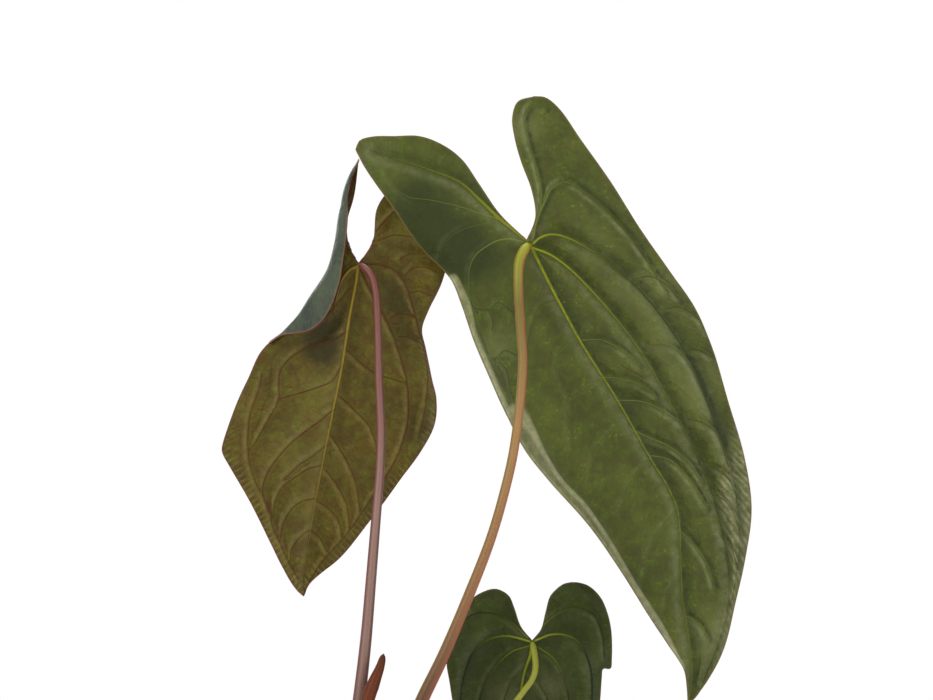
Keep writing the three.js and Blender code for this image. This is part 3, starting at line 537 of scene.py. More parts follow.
class VeinMap:
    """Veins as a search tree of points, each with its direction, half width and brightness."""

    def __init__(self, veins):
        points, ways, halves, glows, runs = [], [], [], [], []
        for way, widths, glow in veins:
            curve = Curve(way)
            share = np.linspace(0, 1, int(curve.length / VEIN_STEP) + 2)
            here = curve.at(share)
            points.append(here)
            ways.append(np.gradient(here, axis=0))
            halves.append(value_along(widths, share) / 2)
            glows.append(value_along(glow, share))
            runs.append(share * curve.length)
        self.points, self.ways = np.vstack(points), np.vstack(ways)
        self.halves, self.glows, self.runs = (np.concatenate(kept) for kept in (halves, glows, runs))
        self.tree = kdtree.KDTree(len(self.points))
        for i, (x, y) in enumerate(self.points):
            self.tree.insert((x, y, 0), i)
        self.tree.balance()

    def near(self, flat):
        """For flat points: distance to the nearest vein, the same signed by the side of it, how far to
        its right the point is, half the vein's width, its brightness, and how far along it."""
        found = [self.tree.find((x, y, 0)) for x, y in flat]
        gap = np.array([hit[2] for hit in found])
        which = np.array([hit[1] for hit in found])
        away = flat - self.points[which]
        turn = self.ways[which, 0] * away[:, 1] - self.ways[which, 1] * away[:, 0]
        return (gap, np.where(turn < 0, -gap, gap), away[:, 0], self.halves[which], self.glows[which],
                self.runs[which])


def row_points(half, roll, root, edge, along, across):
    """Where the sheet lies, seen from behind, and how far a roll brings it forward."""
    if roll is None:
        return root + (edge - root) * across[:, None], np.zeros(len(along))
    progress = np.clip(along / half["roll_end"], 0, 1)
    rolled = along < half["roll_end"]
    outline = np.where(rolled[:, None], roll.at(progress), edge)
    radius = np.where(rolled, half["roll_radius"] * np.sqrt(np.sin(np.pi * progress).clip(0)), 0) + 1e-9
    outward = outline - root
    outward /= np.maximum(np.linalg.norm(outward, axis=1), 1e-9)[:, None]
    centre = outline - outward * radius[:, None]
    back = np.linalg.norm(centre - root, axis=1)
    bend = np.pi * radius
    flap = np.linalg.norm(centre - edge, axis=1)
    travelled = across * (back + bend + flap)
    angle = np.clip((travelled - back) / radius, 0, np.pi)
    share = np.clip((travelled - back - bend) / np.maximum(flap, 1e-9), 0, 1)
    out = np.minimum(travelled, back) + radius * np.sin(angle)
    point = root + outward * out[:, None] + (edge - centre) * share[:, None]
    return point, radius * (1 - np.cos(angle))


class Blade:
    """Works out where each point of a leaf's blade lies, and the values its finishes read."""

    rows = LOBE_ROWS + SHOULDER_ROWS + BLADE_ROWS
    lobe_share = LOBE_ROWS / rows
    blade_share = (LOBE_ROWS + SHOULDER_ROWS) / rows

    def __init__(self, leaf, sizes):
        self.leaf, self.sizes = leaf, sizes
        self.origin = np.array(leaf["attachment"]) * MM
        self.midrib = Curve(leaf["midrib"])
        self.lean = Curve(leaf["lean"][::-1])
        self.ribs, self.veins = VeinMap(leaf["ribs"]), VeinMap(leaf["veins"])
        self.margin = VeinMap([(leaf[side][edge], (1, 1), (1, 1))
                               for side in ("left", "right") for edge in ("margin", "sinus")])
        self.creases = [(VeinMap([(way, (1, 1), taper)]), rungs) for way, taper, (rungs,) in leaf["creases"]]

    def turned(self, flat, inward):
        """How far a point is beyond the crease that a turned margin starts from, and how rungs show there."""
        furthest, shown = np.zeros(len(flat)), np.zeros(len(flat))
        for crease, rungs in self.creases:
            widths = self.margin.near(crease.points)[0]
            found = [crease.tree.find((x, y, 0)) for x, y in flat]
            which = np.array([hit[1] for hit in found])
            gap, width = np.array([hit[2] for hit in found]), widths[which]
            beyond = np.clip(width - inward, 0, None) * np.clip(2.2 - gap / np.maximum(width, 1), 0, 1)
            beyond *= crease.glows[which]
            shown = np.where(beyond > furthest, rungs, shown)
            furthest = np.maximum(furthest, beyond)
        return furthest, shown

    def sheet(self, half, flat, forward, along, across, spread):
        """Points in the object's frame, and the values that the finishes read."""
        leaf, sizes = self.leaf, self.sizes
        rib_gap, rib_side, rib_right, rib_half, glow, _ = self.ribs.near(flat)
        vein_gap, vein_side, vein_right, vein_half, tint, run = self.veins.near(flat)
        inward = self.margin.near(flat)[0]
        # Deeper and paler patches: partly the leaf's own tone, partly painted shade, painted shadow and
        # painted sheen
        tone = np.zeros(len(flat))
        for x, y, reach, strength in leaf["patches"]:
            tone += strength * np.exp(-((flat[:, 0] - x) ** 2 + (flat[:, 1] - y) ** 2) / reach ** 2)
        free = np.clip(1 - forward / 2, 0, 1)
        far = OUT_OF_REACH * (1 - free)
        turned, rungs = self.turned(flat, inward)
        turned = turned * free
        sink = leaf["rib_fold"] * (1 - np.exp(-rib_gap / RIB_REACH))
        sink += (half["vein_fold"] * (1 - np.exp(-vein_gap / VEIN_REACH)) * np.clip(inward / 6, 0.3, 1)
                 * smooth_step(0, 6, rib_gap))
        wave = leaf["wave"] * np.sin(2 * np.pi * WAVES * along) * across ** 3 * np.clip(spread / 15, 0, 1)
        bent = half["turned_edge"] * smooth_step(0.78, 1, across) * np.clip(spread / 25, 0, 1)
        camber = leaf["camber"] * (spread / 50) ** 2
        depth = np.interp(flat[:, 1], self.lean.dense[:, 0], self.lean.dense[:, 1]) - forward
        depth += (camber + sink * sizes.quilting + wave + bent + leaf["turn"] * turned * (1 - rungs)) * free
        points = np.stack([flat[:, 0], depth, flat[:, 1]], axis=1) * MM + self.origin
        return points, {
            "rib_gap": rib_gap + far, "rib_side": rib_side, "rib_half": rib_half, "rib_right": rib_right,
            "vein_gap": vein_gap + far, "vein_side": vein_side, "vein_half": vein_half,
            "vein_right": vein_right, "glow": glow, "tint": tint, "run": run, "inward": inward,
            # How strongly painted light and shade show beside this half's veins
            "turned": turned, "rungs": rungs, "emboss": np.full(len(flat), half["vein_fold"] / 2),
            "along": along, "across": across, "tone": tone * free,
            "flat_x": flat[:, 0] + forward * 3, "flat_y": flat[:, 1],
        }

    def half_patches(self, half):
        """The grids of one half: from its ribs to the margin, and from the lobe's rib to the sinus."""
        rib, sinus, margin = Curve(half["rib"]), Curve(half["sinus"]), Curve(half["margin"])
        roll = Curve(half["roll"]) if "roll" in half else None
        lobe_end, blade_start = half["shoulder"]

        def root_at(a):
            lobe = rib.at(1 - a / self.lobe_share)
            forward = np.clip((a - self.blade_share) / (1 - self.blade_share), 0, 1)
            return np.where((a <= self.lobe_share)[:, None], lobe, self.midrib.at(forward ** FORWARD_SWEEP))

        def outer(a, b):
            across = b - 0.4 * np.sin(2 * np.pi * b) / (2 * np.pi)
            along = np.interp(a, [0, self.lobe_share, self.blade_share, 1], [0, lobe_end, blade_start, 1])
            root, edge = root_at(a), margin.at(along)
            flat, forward = row_points(half, roll, root, edge, along, across)
            spread = np.linalg.norm(flat - root, axis=1)
            return self.sheet(half, flat, forward, along, across, spread)

        def inner(a, b):
            root, edge = root_at(a * self.lobe_share), sinus.at(1 - a)
            flat = root + (edge - root) * b[:, None]
            still = np.zeros(len(a))
            return self.sheet(half, flat, still, a * lobe_end, still, still)

        return [(self.rows, COLUMNS, outer), (LOBE_ROWS, SINUS_COLUMNS, inner)]


def build_blade(leaf, sizes, finishes):
    """A blade as one closed sheet: its back, its face and its rim each have a finish."""
    blade = Blade(leaf, sizes)
    bm = patch_mesh(blade.half_patches(leaf["left"]) + blade.half_patches(leaf["right"]))
    bmesh.ops.recalc_face_normals(bm, faces=bm.faces)
    if sum(face.normal.y * face.calc_area() for face in bm.faces) > 0:
        bmesh.ops.reverse_faces(bm, faces=bm.faces)
    name = leaf["name"] + "_blade"
    piece = finish_piece(bm, name + "_fine", finishes, replaces=(name,))
    wall = piece.modifiers.new("thickness", "SOLIDIFY")
    wall.thickness = sizes.blade_thickness
    wall.offset = 0
    wall.material_offset = 1
    wall.material_offset_rim = 2
    return piece


# Stalks, shoot and roots

def tube_patch(path, radii, rows, sides, steps=600):
    """A bar along a path, its ends rounded off."""
    frames = frames_along(Curve(path), steps)
    shares = np.linspace(0, 1, steps)

    def rule(a, b):
        end = np.minimum(a, 1 - a) * rows
        cap = np.sqrt(np.clip(1 - (1 - np.minimum(end / 3, 1)) ** 2, 0, 1))
        place = [np.stack([np.interp(a, shares, way[:, i]) for i in range(3)], axis=1)
                 for way in frames]
        radius = value_along(radii, a) * cap
        angle = 2 * np.pi * b
        side, deep = np.cos(angle), np.sin(angle)
        ring = place[0] + place[1] * (side * radius)[:, None] + place[2] * (deep * radius)[:, None]
        return ring * MM, {"along": a, "side": side, "deep": deep}

    return rows, sides, rule


# Stem, mix and pot

def rolling(points, scale, seed):
    """Smooth noise from -1 to 1 for an array of points."""
    offset = Vector((seed * 17.3, seed * 5.1, seed * 9.7))
    return np.array([noise.noise(Vector(point) * scale + offset) for point in points])


def stem_point(a, b):
    """The stem's surface: rings of old leaf scars and a swollen head."""
    t = np.clip(a * 1.12 - 0.06, 0, 1)
    height = STEM["bottom"] + (STEM["top"] - STEM["bottom"]) * t
    cap = np.sqrt(np.clip(1 - (1 - np.minimum(np.minimum(a, 1 - a) / 0.06, 1)) ** 2, 0, 1))
    swell = smooth_step(0.55, 0.95, t) * (STEM["head_radius"] - STEM["radius"])
    scar = 0.7 * np.clip(np.cos(2 * np.pi * STEM["scars"] * t), 0, 1) ** 3
    turn = 2 * np.pi * b
    around = np.stack([np.cos(turn), np.sin(turn), np.zeros(len(a))], axis=1)
    bumps = 0.35 * rolling(around * 8 + height[:, None] * [0, 0, 1], 0.3, 3)
    radius = (STEM["radius"] + swell - scar + bumps) * cap
    point = around * radius[:, None]
    point[:, 2] = height
    return point * MM, {"along": a}


def inner_radius(height):
    share = height / POT["height"]
    return POT["base_radius"] + (POT["top_radius"] - POT["base_radius"]) * share - POT["wall"]


def mix_top(x, y):
    """Height of the mix's heaped, uneven top."""
    share = np.hypot(x, y) / (inner_radius(MIX["surface"]) - GAP)
    bumps = np.sin(x * 0.55 + 1) * np.cos(y * 0.5) + 0.6 * np.sin(x * 0.9 - y * 1.1)
    return MIX["surface"] + MIX["crown"] * (1 - share ** 2) + MIX["roughness"] * bumps * (1 - share ** 6)


def mix_point(a, b):
    """The body of mix, from the middle of its bottom round to the middle of its top."""
    bottom = POT["floor"] + GAP
    corners = [0, 0.1, 0.25, 1]
    radius = np.interp(
        a, corners, [0, inner_radius(bottom) - GAP - 0.1, inner_radius(MIX["surface"]) - GAP, 0])
    height = np.interp(a, corners, [bottom, bottom, MIX["surface"], MIX["surface"]])
    x, y = np.cos(2 * np.pi * b) * radius, np.sin(2 * np.pi * b) * radius
    point = np.stack([x, y, height], axis=1)
    top = a > corners[2]
    crumbs = 0.9 * rolling(point, 0.35, 1) + 0.5 * rolling(point, 0.9, 2)
    point[top, 2] = (mix_top(x, y) + crumbs)[top]
    return point * MM, {"along": a}


def rough_block(rng, shape, kind):
    """A mesh of an angular chip or a rounded grain, one unit long."""
    bm = bmesh.new()
    if kind == "cube":
        bmesh.ops.create_cube(bm, size=1)
        bmesh.ops.bevel(bm, geom=bm.edges[:] + bm.verts[:], offset=0.13, offset_type="OFFSET", affect="EDGES",
                        segments=1, profile=0.5, material=-1)
    else:
        bmesh.ops.create_icosphere(bm, subdivisions=1, radius=0.5)
    for vert in bm.verts:
        vert.co += Vector(rng.uniform(-0.09, 0.09) for _ in range(3))
        vert.co *= Vector(shape)
    return mesh_of(bm, "block")


def scatter(name, blocks, count, lengths, rng, material):
    """Blocks strewn over the mix, between the stem and the wall of the pot, half sunk."""
    bm = bmesh.new()
    shade = bm.verts.layers.float.new("shade")
    reach = inner_radius(MIX["surface"]) - 1
    for i in range(count):
        length = rng.uniform(*lengths)
        out = STEM["radius"] + (reach - length / 2 - STEM["radius"]) * math.sqrt(rng.random())
        turn = rng.uniform(0, 2 * math.pi)
        x, y = math.cos(turn) * out, math.sin(turn) * out
        height = mix_top(x, y) + rng.uniform(-0.1, 0.16) * length
        tilt = Euler((rng.uniform(-0.5, 0.5), rng.uniform(-0.4, 0.4), rng.uniform(0, 2 * math.pi)))
        matrix = (Matrix.Translation(Vector((x, y, height)) * MM) @ tilt.to_matrix().to_4x4()
                  @ Matrix.Scale(length * MM, 4))
        start = len(bm.verts)
        bm.from_mesh(rng.choice(blocks))
        bm.verts.ensure_lookup_table()
        fresh = bm.verts[start:]
        bmesh.ops.transform(bm, matrix=matrix, verts=fresh)
        value = rng.random()
        for vert in fresh:
            vert[shade] = value
    bmesh.ops.recalc_face_normals(bm, faces=bm.faces)
    for mesh in blocks:
        bpy.data.meshes.remove(mesh)
    return finish_piece(bm, name, [material], smooth=False)


def pot_outline():
    """Radius and height round half of the pot's section, from the middle of its underside."""
    top, base, floor = POT["height"], POT["base_radius"], POT["floor"]
    brim, proud = top - POT["rim_height"], POT["rim_proud"]

    def outer(height):
        return inner_radius(height) + POT["wall"]

    lip, mouth = outer(top) + proud, inner_radius(top)
    return [
        (0, 1.2), (base - 7, 1.2), (base - 6, 0), (base - 2, 0), (outer(1.2) - 0.3, 0.7), (outer(2.4), 2.4),
        (outer(40), 40), (outer(brim - 1.6), brim - 1.6), (outer(brim) + 0.3, brim - 0.5),
        (outer(brim) + proud - 0.4, brim), (outer(brim) + proud, brim + 0.6), (lip - 0.1, top - 1.6),
        (lip - 0.5, top - 0.5), (lip - 1.4, top), (mouth + 0.9, top), (mouth + 0.2, top - 0.4),
        (mouth, top - 1.2), (inner_radius(60), 60), (inner_radius(floor + 1.5), floor + 1.5),
        (inner_radius(floor) - 1.5, floor), (0, floor),
    ]


def spun(outline, steps):
    """A closed solid spun from a line of radius and height."""
    bm = bmesh.new()
    verts = [bm.verts.new((radius * MM, 0, height * MM)) for radius, height in outline]
    edges = [bm.edges.new(pair) for pair in zip(verts, verts[1:])]
    bmesh.ops.spin(bm, geom=verts + edges, cent=(0, 0, 0), axis=(0, 0, 1), dvec=(0, 0, 0),
                   angle=2 * math.pi, steps=steps, use_merge=True)
    bmesh.ops.remove_doubles(bm, verts=bm.verts, dist=2e-6)
    bmesh.ops.recalc_face_normals(bm, faces=bm.faces)
    return bm


def cut_through(piece, cutter_bm):
    """Cuts a bmesh's shapes out of a piece."""
    cutter = placed("cutter", mesh_of(cutter_bm, "cutter"))
    cut = piece.modifiers.new("holes", "BOOLEAN")
    cut.operation, cut.solver, cut.object = "DIFFERENCE", "EXACT", cutter
    finished = bpy.data.meshes.new_from_object(piece.evaluated_get(bpy.context.evaluated_depsgraph_get()))
    piece.modifiers.remove(cut)
    piece.data = finished
    piece.data.set_sharp_from_angle(angle=math.radians(40))
    bpy.data.objects.remove(cutter)


# Shader maths

class Value:
    """A shader socket that plain arithmetic works on."""

    def __init__(self, nodes, socket):
        self.nodes, self.socket = nodes, socket

    def maths(self, operation, *others):
        sockets = {i: other for i, other in enumerate((self,) + others)}
        return self.nodes.node("ShaderNodeMath", {"operation": operation}, sockets)

    def __add__(self, other):
        return self.maths("ADD", other)

    def __sub__(self, other):
        return self.maths("SUBTRACT", other)

    def __rsub__(self, other):
        return self.nodes.node("ShaderNodeMath", {"operation": "SUBTRACT"}, {0: other, 1: self})

    def __mul__(self, other):
        return self.maths("MULTIPLY", other)

    def __truediv__(self, other):
        return self.maths("DIVIDE", other)

    __radd__ = __add__
    __rmul__ = __mul__

    def between(self, low, high, to_low=0.0, to_high=1.0):
        """Smoothly from to_low at low to to_high at high, and held there beyond."""
        return self.nodes.node(
            "ShaderNodeMapRange", {"interpolation_type": "SMOOTHSTEP", "clamp": True},
            {"Value": self, "From Min": low, "From Max": high, "To Min": to_low, "To Max": to_high})


class Nodes:
    """A node tree being made."""

    def __init__(self, tree):
        self.tree = tree
        tree.nodes.clear()

    def put(self, socket, value):
        if isinstance(value, Value):
            self.tree.links.new(value.socket, socket)
        elif isinstance(value, (tuple, list)) and socket.type == "RGBA":
            socket.default_value = (*value[:3], 1.0)
        else:
            socket.default_value = value

    def node(self, kind, settings, sockets, output=0):
        """A node of a kind, its settings first, then the values or links of its sockets."""
        node = self.tree.nodes.new(kind)
        for key, value in settings.items():
            if key == "stops":
                ramp = node.color_ramp
                while len(ramp.elements) < len(value):
                    ramp.elements.new(0.5)
                for element, (place, colour) in zip(ramp.elements, value):
                    element.position = place
                    element.color = (*colour, 1.0)
            else:
                setattr(node, key, value)
        for key, value in sockets.items():
            self.put(node.inputs[key], value)
        return Value(self, node.outputs[output])

    def end(self, kind, value):
        self.put(self.tree.nodes.new(kind).inputs["Surface"], value)


class Finish(Nodes):
    """A material being made: its nodes, and the shader that they feed."""

    def __init__(self, name, **constants):
        self.material = bpy.data.materials.new(name)
        self.material.use_nodes = True
        super().__init__(self.material.node_tree)
        self.shader = self.tree.nodes.new("ShaderNodeBsdfPrincipled")
        self.end("ShaderNodeOutputMaterial", Value(self, self.shader.outputs[0]))
        self.feed(**constants)

    def feed(self, **values):
        """Sets or links the shader's sockets, named in lower case."""
        sockets = {socket.name.lower().replace(" ", "_"): socket for socket in self.shader.inputs}
        for key, value in values.items():
            self.put(sockets[key], value)

    def kept(self, name):
        """A value kept on the piece's points."""
        return self.node("ShaderNodeAttribute", {"attribute_name": name}, {}, "Fac")

    def mix(self, share, first, second):
        return self.node("ShaderNodeMix", {"data_type": "RGBA"}, {0: share, 6: first, 7: second}, 2)

    def paint(self, share, colour):
        """Lays a colour over the colour so far, by a share from 0 to 1."""
        self.colour = self.mix(share, self.colour, colour)

    def place(self):
        return self.node("ShaderNodeTexCoord", {}, {}, "Object")

    def stretched(self, vector, scale):
        return self.node("ShaderNodeMapping", {}, {"Vector": vector, "Scale": scale})

    def join(self, x, y, z=0.0):
        return self.node("ShaderNodeCombineXYZ", {}, {0: x, 1: y, 2: z})

    def noise(self, vector, scale, detail=3.0, roughness=0.55, output="Fac"):
        return self.node("ShaderNodeTexNoise", {}, {
            "Vector": vector, "Scale": scale, "Detail": detail, "Roughness": roughness}, output)

    def cells(self, vector, scale, feature="DISTANCE_TO_EDGE", randomness=0.9):
        return self.node("ShaderNodeTexVoronoi", {"feature": feature}, {
            "Vector": vector, "Scale": scale, "Randomness": randomness}, "Distance")

    def bump(self, height, distance, strength=1.0):
        self.feed(normal=self.node(
            "ShaderNodeBump", {}, {"Height": height, "Distance": distance, "Strength": strength}))


CROSS_VEIN_STEP = 4.2  # millimetres along a vein from one short side vein to the next


def on_veins(finish, family):
    """1 on a family of veins and 0 off them."""
    across = finish.kept(family + "_side").maths("ABSOLUTE") / finish.kept(family + "_half")
    return across.between(0.5, 1.25, 1, 0) * finish.kept(family + "_gap").between(1.3, 2.1, 1, 0)


def blade_finish(name, look):
    """One side of a blade: mottled ground, fine net, veins and ribs, and a line at the edge."""
    finish = Finish(name, specular_ior_level=look.specular, sheen_weight=look.sheen, sheen_roughness=0.4)
    flat = finish.join(finish.kept("flat_x"), finish.kept("flat_y"))
    along, across, inward = finish.kept("along"), finish.kept("across"), finish.kept("inward")
    turned, ribbed, gap = finish.kept("turned"), finish.kept("rungs"), finish.kept("vein_gap")

    # Ground: clouds, blotches, specks and short strokes along the rows
    clouds = finish.noise(flat, 0.05, 4, 0.6).between(0.34, 0.68)
    finish.colour = finish.mix(clouds, look.dark, look.light)
    blotches = finish.noise(flat, 0.2, 4, 0.65).between(0.44, 0.64)
    finish.paint(blotches * look.blotch_share, look.blotch)
    specks = finish.noise(flat, 0.1, 2, 0.5).between(0.46, 0.62)
    fine = finish.noise(flat, 0.6, 2, 0.5).between(0.56, 0.7)
    finish.paint(specks * fine * look.specks, look.speck)
    strokes = finish.noise(finish.join(along * 190, across * 7), 1.0, 3, 0.6)
    finish.paint(strokes.between(0.42, 0.68) * look.stroke_share, look.stroke)

    # Fine net: cells between the veins, and short veins that leave a vein sideways
    drift = finish.noise(flat, 0.25, 1.0, 0.5, "Color")
    bent = finish.node(
        "ShaderNodeVectorMath", {"operation": "MULTIPLY_ADD"}, {0: drift, 1: (1.5, 1.5, 0), 2: flat})
    cells = finish.cells(bent, look.net_scale)
    wander = finish.noise(flat, 0.2, 2, 0.5) * 9
    cross = ((finish.kept("run") * (2 * math.pi / CROSS_VEIN_STEP) + wander).maths("SINE").between(0.7, 0.98)
             * gap.between(3.0, 6.5, 1, 0) * gap.between(0.2, 0.8))
    net = (cells.between(0.0, 0.1, 1, 0) * 0.6 + cross * 0.5) * gap.between(0.6, 2.0)
    finish.paint(net * look.net_share, look.net)
    # Deeper and paler patches: partly the leaf's own tone, partly painted shade, painted shadow and painted
    # sheen
    tone = finish.kept("tone")
    finish.paint(tone.between(-1, 0, 0.85, 0), look.deep)
    finish.paint(tone.between(0, 1, 0, 0.8), look.pale)

    # Turned-back margin: painted paler, partly its own colour and partly painted sheen; smooth, with painted
    # sheen along the crease and a paler strip by the edge, or ribbed with rungs partly painted light and
    # shade
    ladder = (along * (2 * math.pi * look.ladder) + inward * look.slant + wander * 0.45).maths("SINE")
    rungs = ladder.between(-0.9, 0.9) * ribbed
    lips = (turned.between(0.0, 0.5) * turned.between(1.6, 2.8, 1, 0) * 0.55
            + inward.between(0.8, 2.0, 1, 0) * 0.45)
    uneven = finish.noise(flat, 0.22, 4, 0.65).between(0.38, 0.62, 0.35, 1.0)
    smooth = turned.between(0.0, 0.8) * (lips * 1.25 + 0.18) * (1.0 - ribbed) * (uneven * 0.5 + 0.5)
    band = smooth + turned.between(0.0, 3.0) * (ribbed * 0.34 + rungs * 0.5 + 0.1) * uneven
    finish.paint(band * look.band_share, look.band)
    # Towards the tip, stripes of painted highlight on the short ribs near the margin
    fringe_highlight = inward.between(1.5, 7.0, 1, 0) * along.between(0.58, 0.7) * uneven * look.fringe_share
    finish.paint(fringe_highlight * ladder.between(-0.95, 0.5, 1, 0), look.lit)

    # Light and shade beside ribs and veins, then the veins and ribs themselves
    quiet = 1.0 - turned.between(0.0, 0.8) * ribbed * 0.5
    # Painted shade close to ribs on both sides, and beside each rib and vein a painted highlight on its left
    # side and painted shade on its right
    shade = finish.kept("rib_gap").between(0.4, 3.2, 1, 0) * 0.5 * quiet
    painted_shadings = (("rib", 7.0, look.rib_relief), ("vein", 3.4, finish.kept("emboss") * look.vein_relief))
    for family, reach, depth in painted_shadings:
        right = finish.kept(family + "_right")
        depth = finish.kept(family + "_gap").between(reach * 0.2, reach, 1, 0) * depth * uneven * quiet
        shade = shade + right.between(0.1, 0.9) * depth
        finish.paint(right.between(-1.2, -0.1, 1, 0) * depth * 0.5, look.lit)
    finish.paint(shade * look.shade_share, look.shade)
    vein, rib = on_veins(finish, "vein"), on_veins(finish, "rib")
    tint, glow = finish.kept("tint"), finish.kept("glow")
    # Veins and ribs painted dark where they don't show their own colour: painted shade in their creases
    finish.paint(vein * (1.0 - tint) * look.crease_share, look.crease)
    finish.paint(vein * (tint * look.vein_share), look.vein)
    finish.paint(rib * (1.0 - glow) * quiet * look.crease_share, look.crease)
    finish.paint(rib * (glow * look.rib_share), look.rib)
    finish.paint(inward.between(0.35, 1.0, 1, 0) * 0.6, look.edge)

    rough = finish.noise(flat, 0.7, 3, 0.6) * 0.22 + (look.roughness - 0.11)
    finish.feed(base_color=finish.colour, roughness=rough)
    grain = finish.noise(flat, 4.5, 3, 0.65)
    puckers = finish.noise(flat, 0.35, 3, 0.55)
    relief = (cells.between(0.0, 0.4) * look.pillow + strokes * look.stroke_rise + grain * 0.16
              + puckers * 0.9 + rib * 0.9 + vein * 0.6 + net * look.net_rise
              - fringe_highlight * ladder.between(-0.9, 0.9) * 2.5 + rungs * turned.between(0.0, 1.0) * 0.5)
    finish.bump(relief, look.relief, 0.8)
    return finish.material


def stalk_finish(name, look):
    """A stalk whose colour changes from foot to top, with finer streaks and darker flanks."""
    look = coloured(look)
    finish = Finish(name, specular_ior_level=look.specular)
    along, side, deep = finish.kept("along"), finish.kept("side"), finish.kept("deep")
    stops = [(place, srgb(*tone)) for place, tone in look.stops]
    finish.colour = finish.node("ShaderNodeValToRGB", {"stops": stops}, {0: along}, "Color")
    streaks = finish.noise(finish.join(along * 18, side * 4, deep * 4), 1.0, 4, 0.6)
    finish.paint(streaks.between(0.5, 0.75) * 0.3, look.streak)
    # Flanks: a colour along each side; on the left leaf's stalk the dark flanks are partly painted shade
    for flank, start in (("right", side), ("left", side * -1.0)):
        finish.paint(start.between(0.35, 0.95) * getattr(look, flank + "_share"), getattr(look, flank))
    dots = finish.cells(finish.join(along * 120, side * 5, deep * 5), 1.0, "F1", 1.0)
    dots = dots.between(0.05, 0.16, 1, 0)
    finish.paint(dots * 0.35, look.dot)
    finish.feed(base_color=finish.colour, roughness=streaks * 0.15 + 0.42)
    finish.bump(streaks * 0.5 + dots * 0.5, 0.0003, 0.35)
    return finish.material


def bark_finish(name, dark, light, crevice, scale=1.0):
    """Rough brown skin: streaked round the piece, darker in its hollows."""
    finish = Finish(name, specular_ior_level=0.3)
    place = finish.place()
    broad = finish.noise(finish.stretched(place, (260 * scale, 260 * scale, 420 * scale)), 1.0, 4, 0.65)
    fine = finish.noise(place, 1500 * scale, 4, 0.7)
    finish.colour = finish.mix(broad.between(0.35, 0.65), dark, light)
    pits = finish.cells(place, 520 * scale, "F1", 1.0).between(0.1, 0.55, 1, 0)
    finish.paint(pits * fine.between(0.4, 0.6) * 0.7, crevice)
    finish.feed(base_color=finish.colour, roughness=fine * 0.3 + 0.6)
    finish.bump(broad * 0.7 + fine * 0.5 - pits * 0.4, 0.0012, 0.7)
    return finish.material


def chip_finish(name, dark, light, crevice):
    """Chips and grains, each of its own shade, with a fibrous grain."""
    finish = Finish(name, specular_ior_level=0.3)
    place = finish.place()
    fibre = finish.noise(finish.stretched(place, (420, 1500, 1500)), 1.0, 4, 0.7)
    finish.colour = finish.mix(finish.kept("shade"), dark, light)
    finish.paint(fibre.between(0.42, 0.62, 1, 0) * 0.6, crevice)
    finish.feed(base_color=finish.colour, roughness=fibre * 0.3 + 0.6)
    finish.bump(fibre, 0.0008, 0.6)
    return finish.material


def pot_finish(colour):
    """Moulded plastic: fine grain, faint flow rings and a little dust low down."""
    finish = Finish("pot_plastic_fine", specular_ior_level=0.5)
    place = finish.place()
    height = finish.node("ShaderNodeSeparateXYZ", {}, {0: place}, "Z")
    grain = finish.noise(place, 2600, 3, 0.6)
    scuffs = finish.noise(finish.stretched(place, (60, 60, 420)), 1.0, 5, 0.7).between(0.55, 0.72)
    rings = finish.noise(finish.join(height * 900, 0.0), 1.0, 2, 0.5)
    dust = finish.noise(place, 70, 4, 0.6).between(0.4, 0.7) * height.between(0.0, 0.05, 1, 0.15)
    finish.colour = finish.mix(scuffs * 0.3, colour, toned(colour, 2.2))
    finish.paint(dust * 0.1, srgb(118, 108, 94))
    finish.feed(base_color=finish.colour, roughness=grain * 0.16 + scuffs * 0.15 + 0.36)
    finish.bump(grain * 0.6 + rings * 0.5, 0.0002, 0.5)
    return finish.material


# Settings

class PlantSizes(bpy.types.PropertyGroup):
    """Sizes that a user would change"""
    blade_thickness: bpy.props.FloatProperty(
        name="Blade thickness", description="Thickness of a leaf blade", default=0.0008, unit="LENGTH")
    quilting: bpy.props.FloatProperty(
        name="Quilting", description="How far the blades sink between their veins, as a share", default=1.0)
    bark_chips: bpy.props.IntProperty(
        name="Bark chips", description="Chips that lie on the mix", default=260, min=0)
    perlite: bpy.props.IntProperty(
        name="Perlite", description="White grains among the chips", default=70, min=0)


class PlantColours(bpy.types.PropertyGroup):
    """Main colours that a user would change"""
    large_back: bpy.props.FloatVectorProperty(
        name="Large leaf's back", description="Ground colour", subtype="COLOR", default=srgb(63, 67, 20))
    left_back: bpy.props.FloatVectorProperty(
        name="Left leaf's back", description="Ground colour", subtype="COLOR", default=srgb(71, 58, 5))
    small_back: bpy.props.FloatVectorProperty(
        name="Small leaf's back", description="Ground colour", subtype="COLOR", default=srgb(40, 46, 5))
    face: bpy.props.FloatVectorProperty(
        name="Leaf face", description="Dark velvety upper side", subtype="COLOR", default=srgb(34, 48, 34))
    pot: bpy.props.FloatVectorProperty(
        name="Pot", description="Plastic of the pot", subtype="COLOR", default=srgb(27, 28, 28))
    floor: bpy.props.FloatVectorProperty(
        name="Floor", description="Studio floor", subtype="COLOR", default=(0.86, 0.86, 0.86))


def settings():
    return bpy.context.scene.anthurium_sizes, bpy.context.scene.anthurium_colours


# Operators

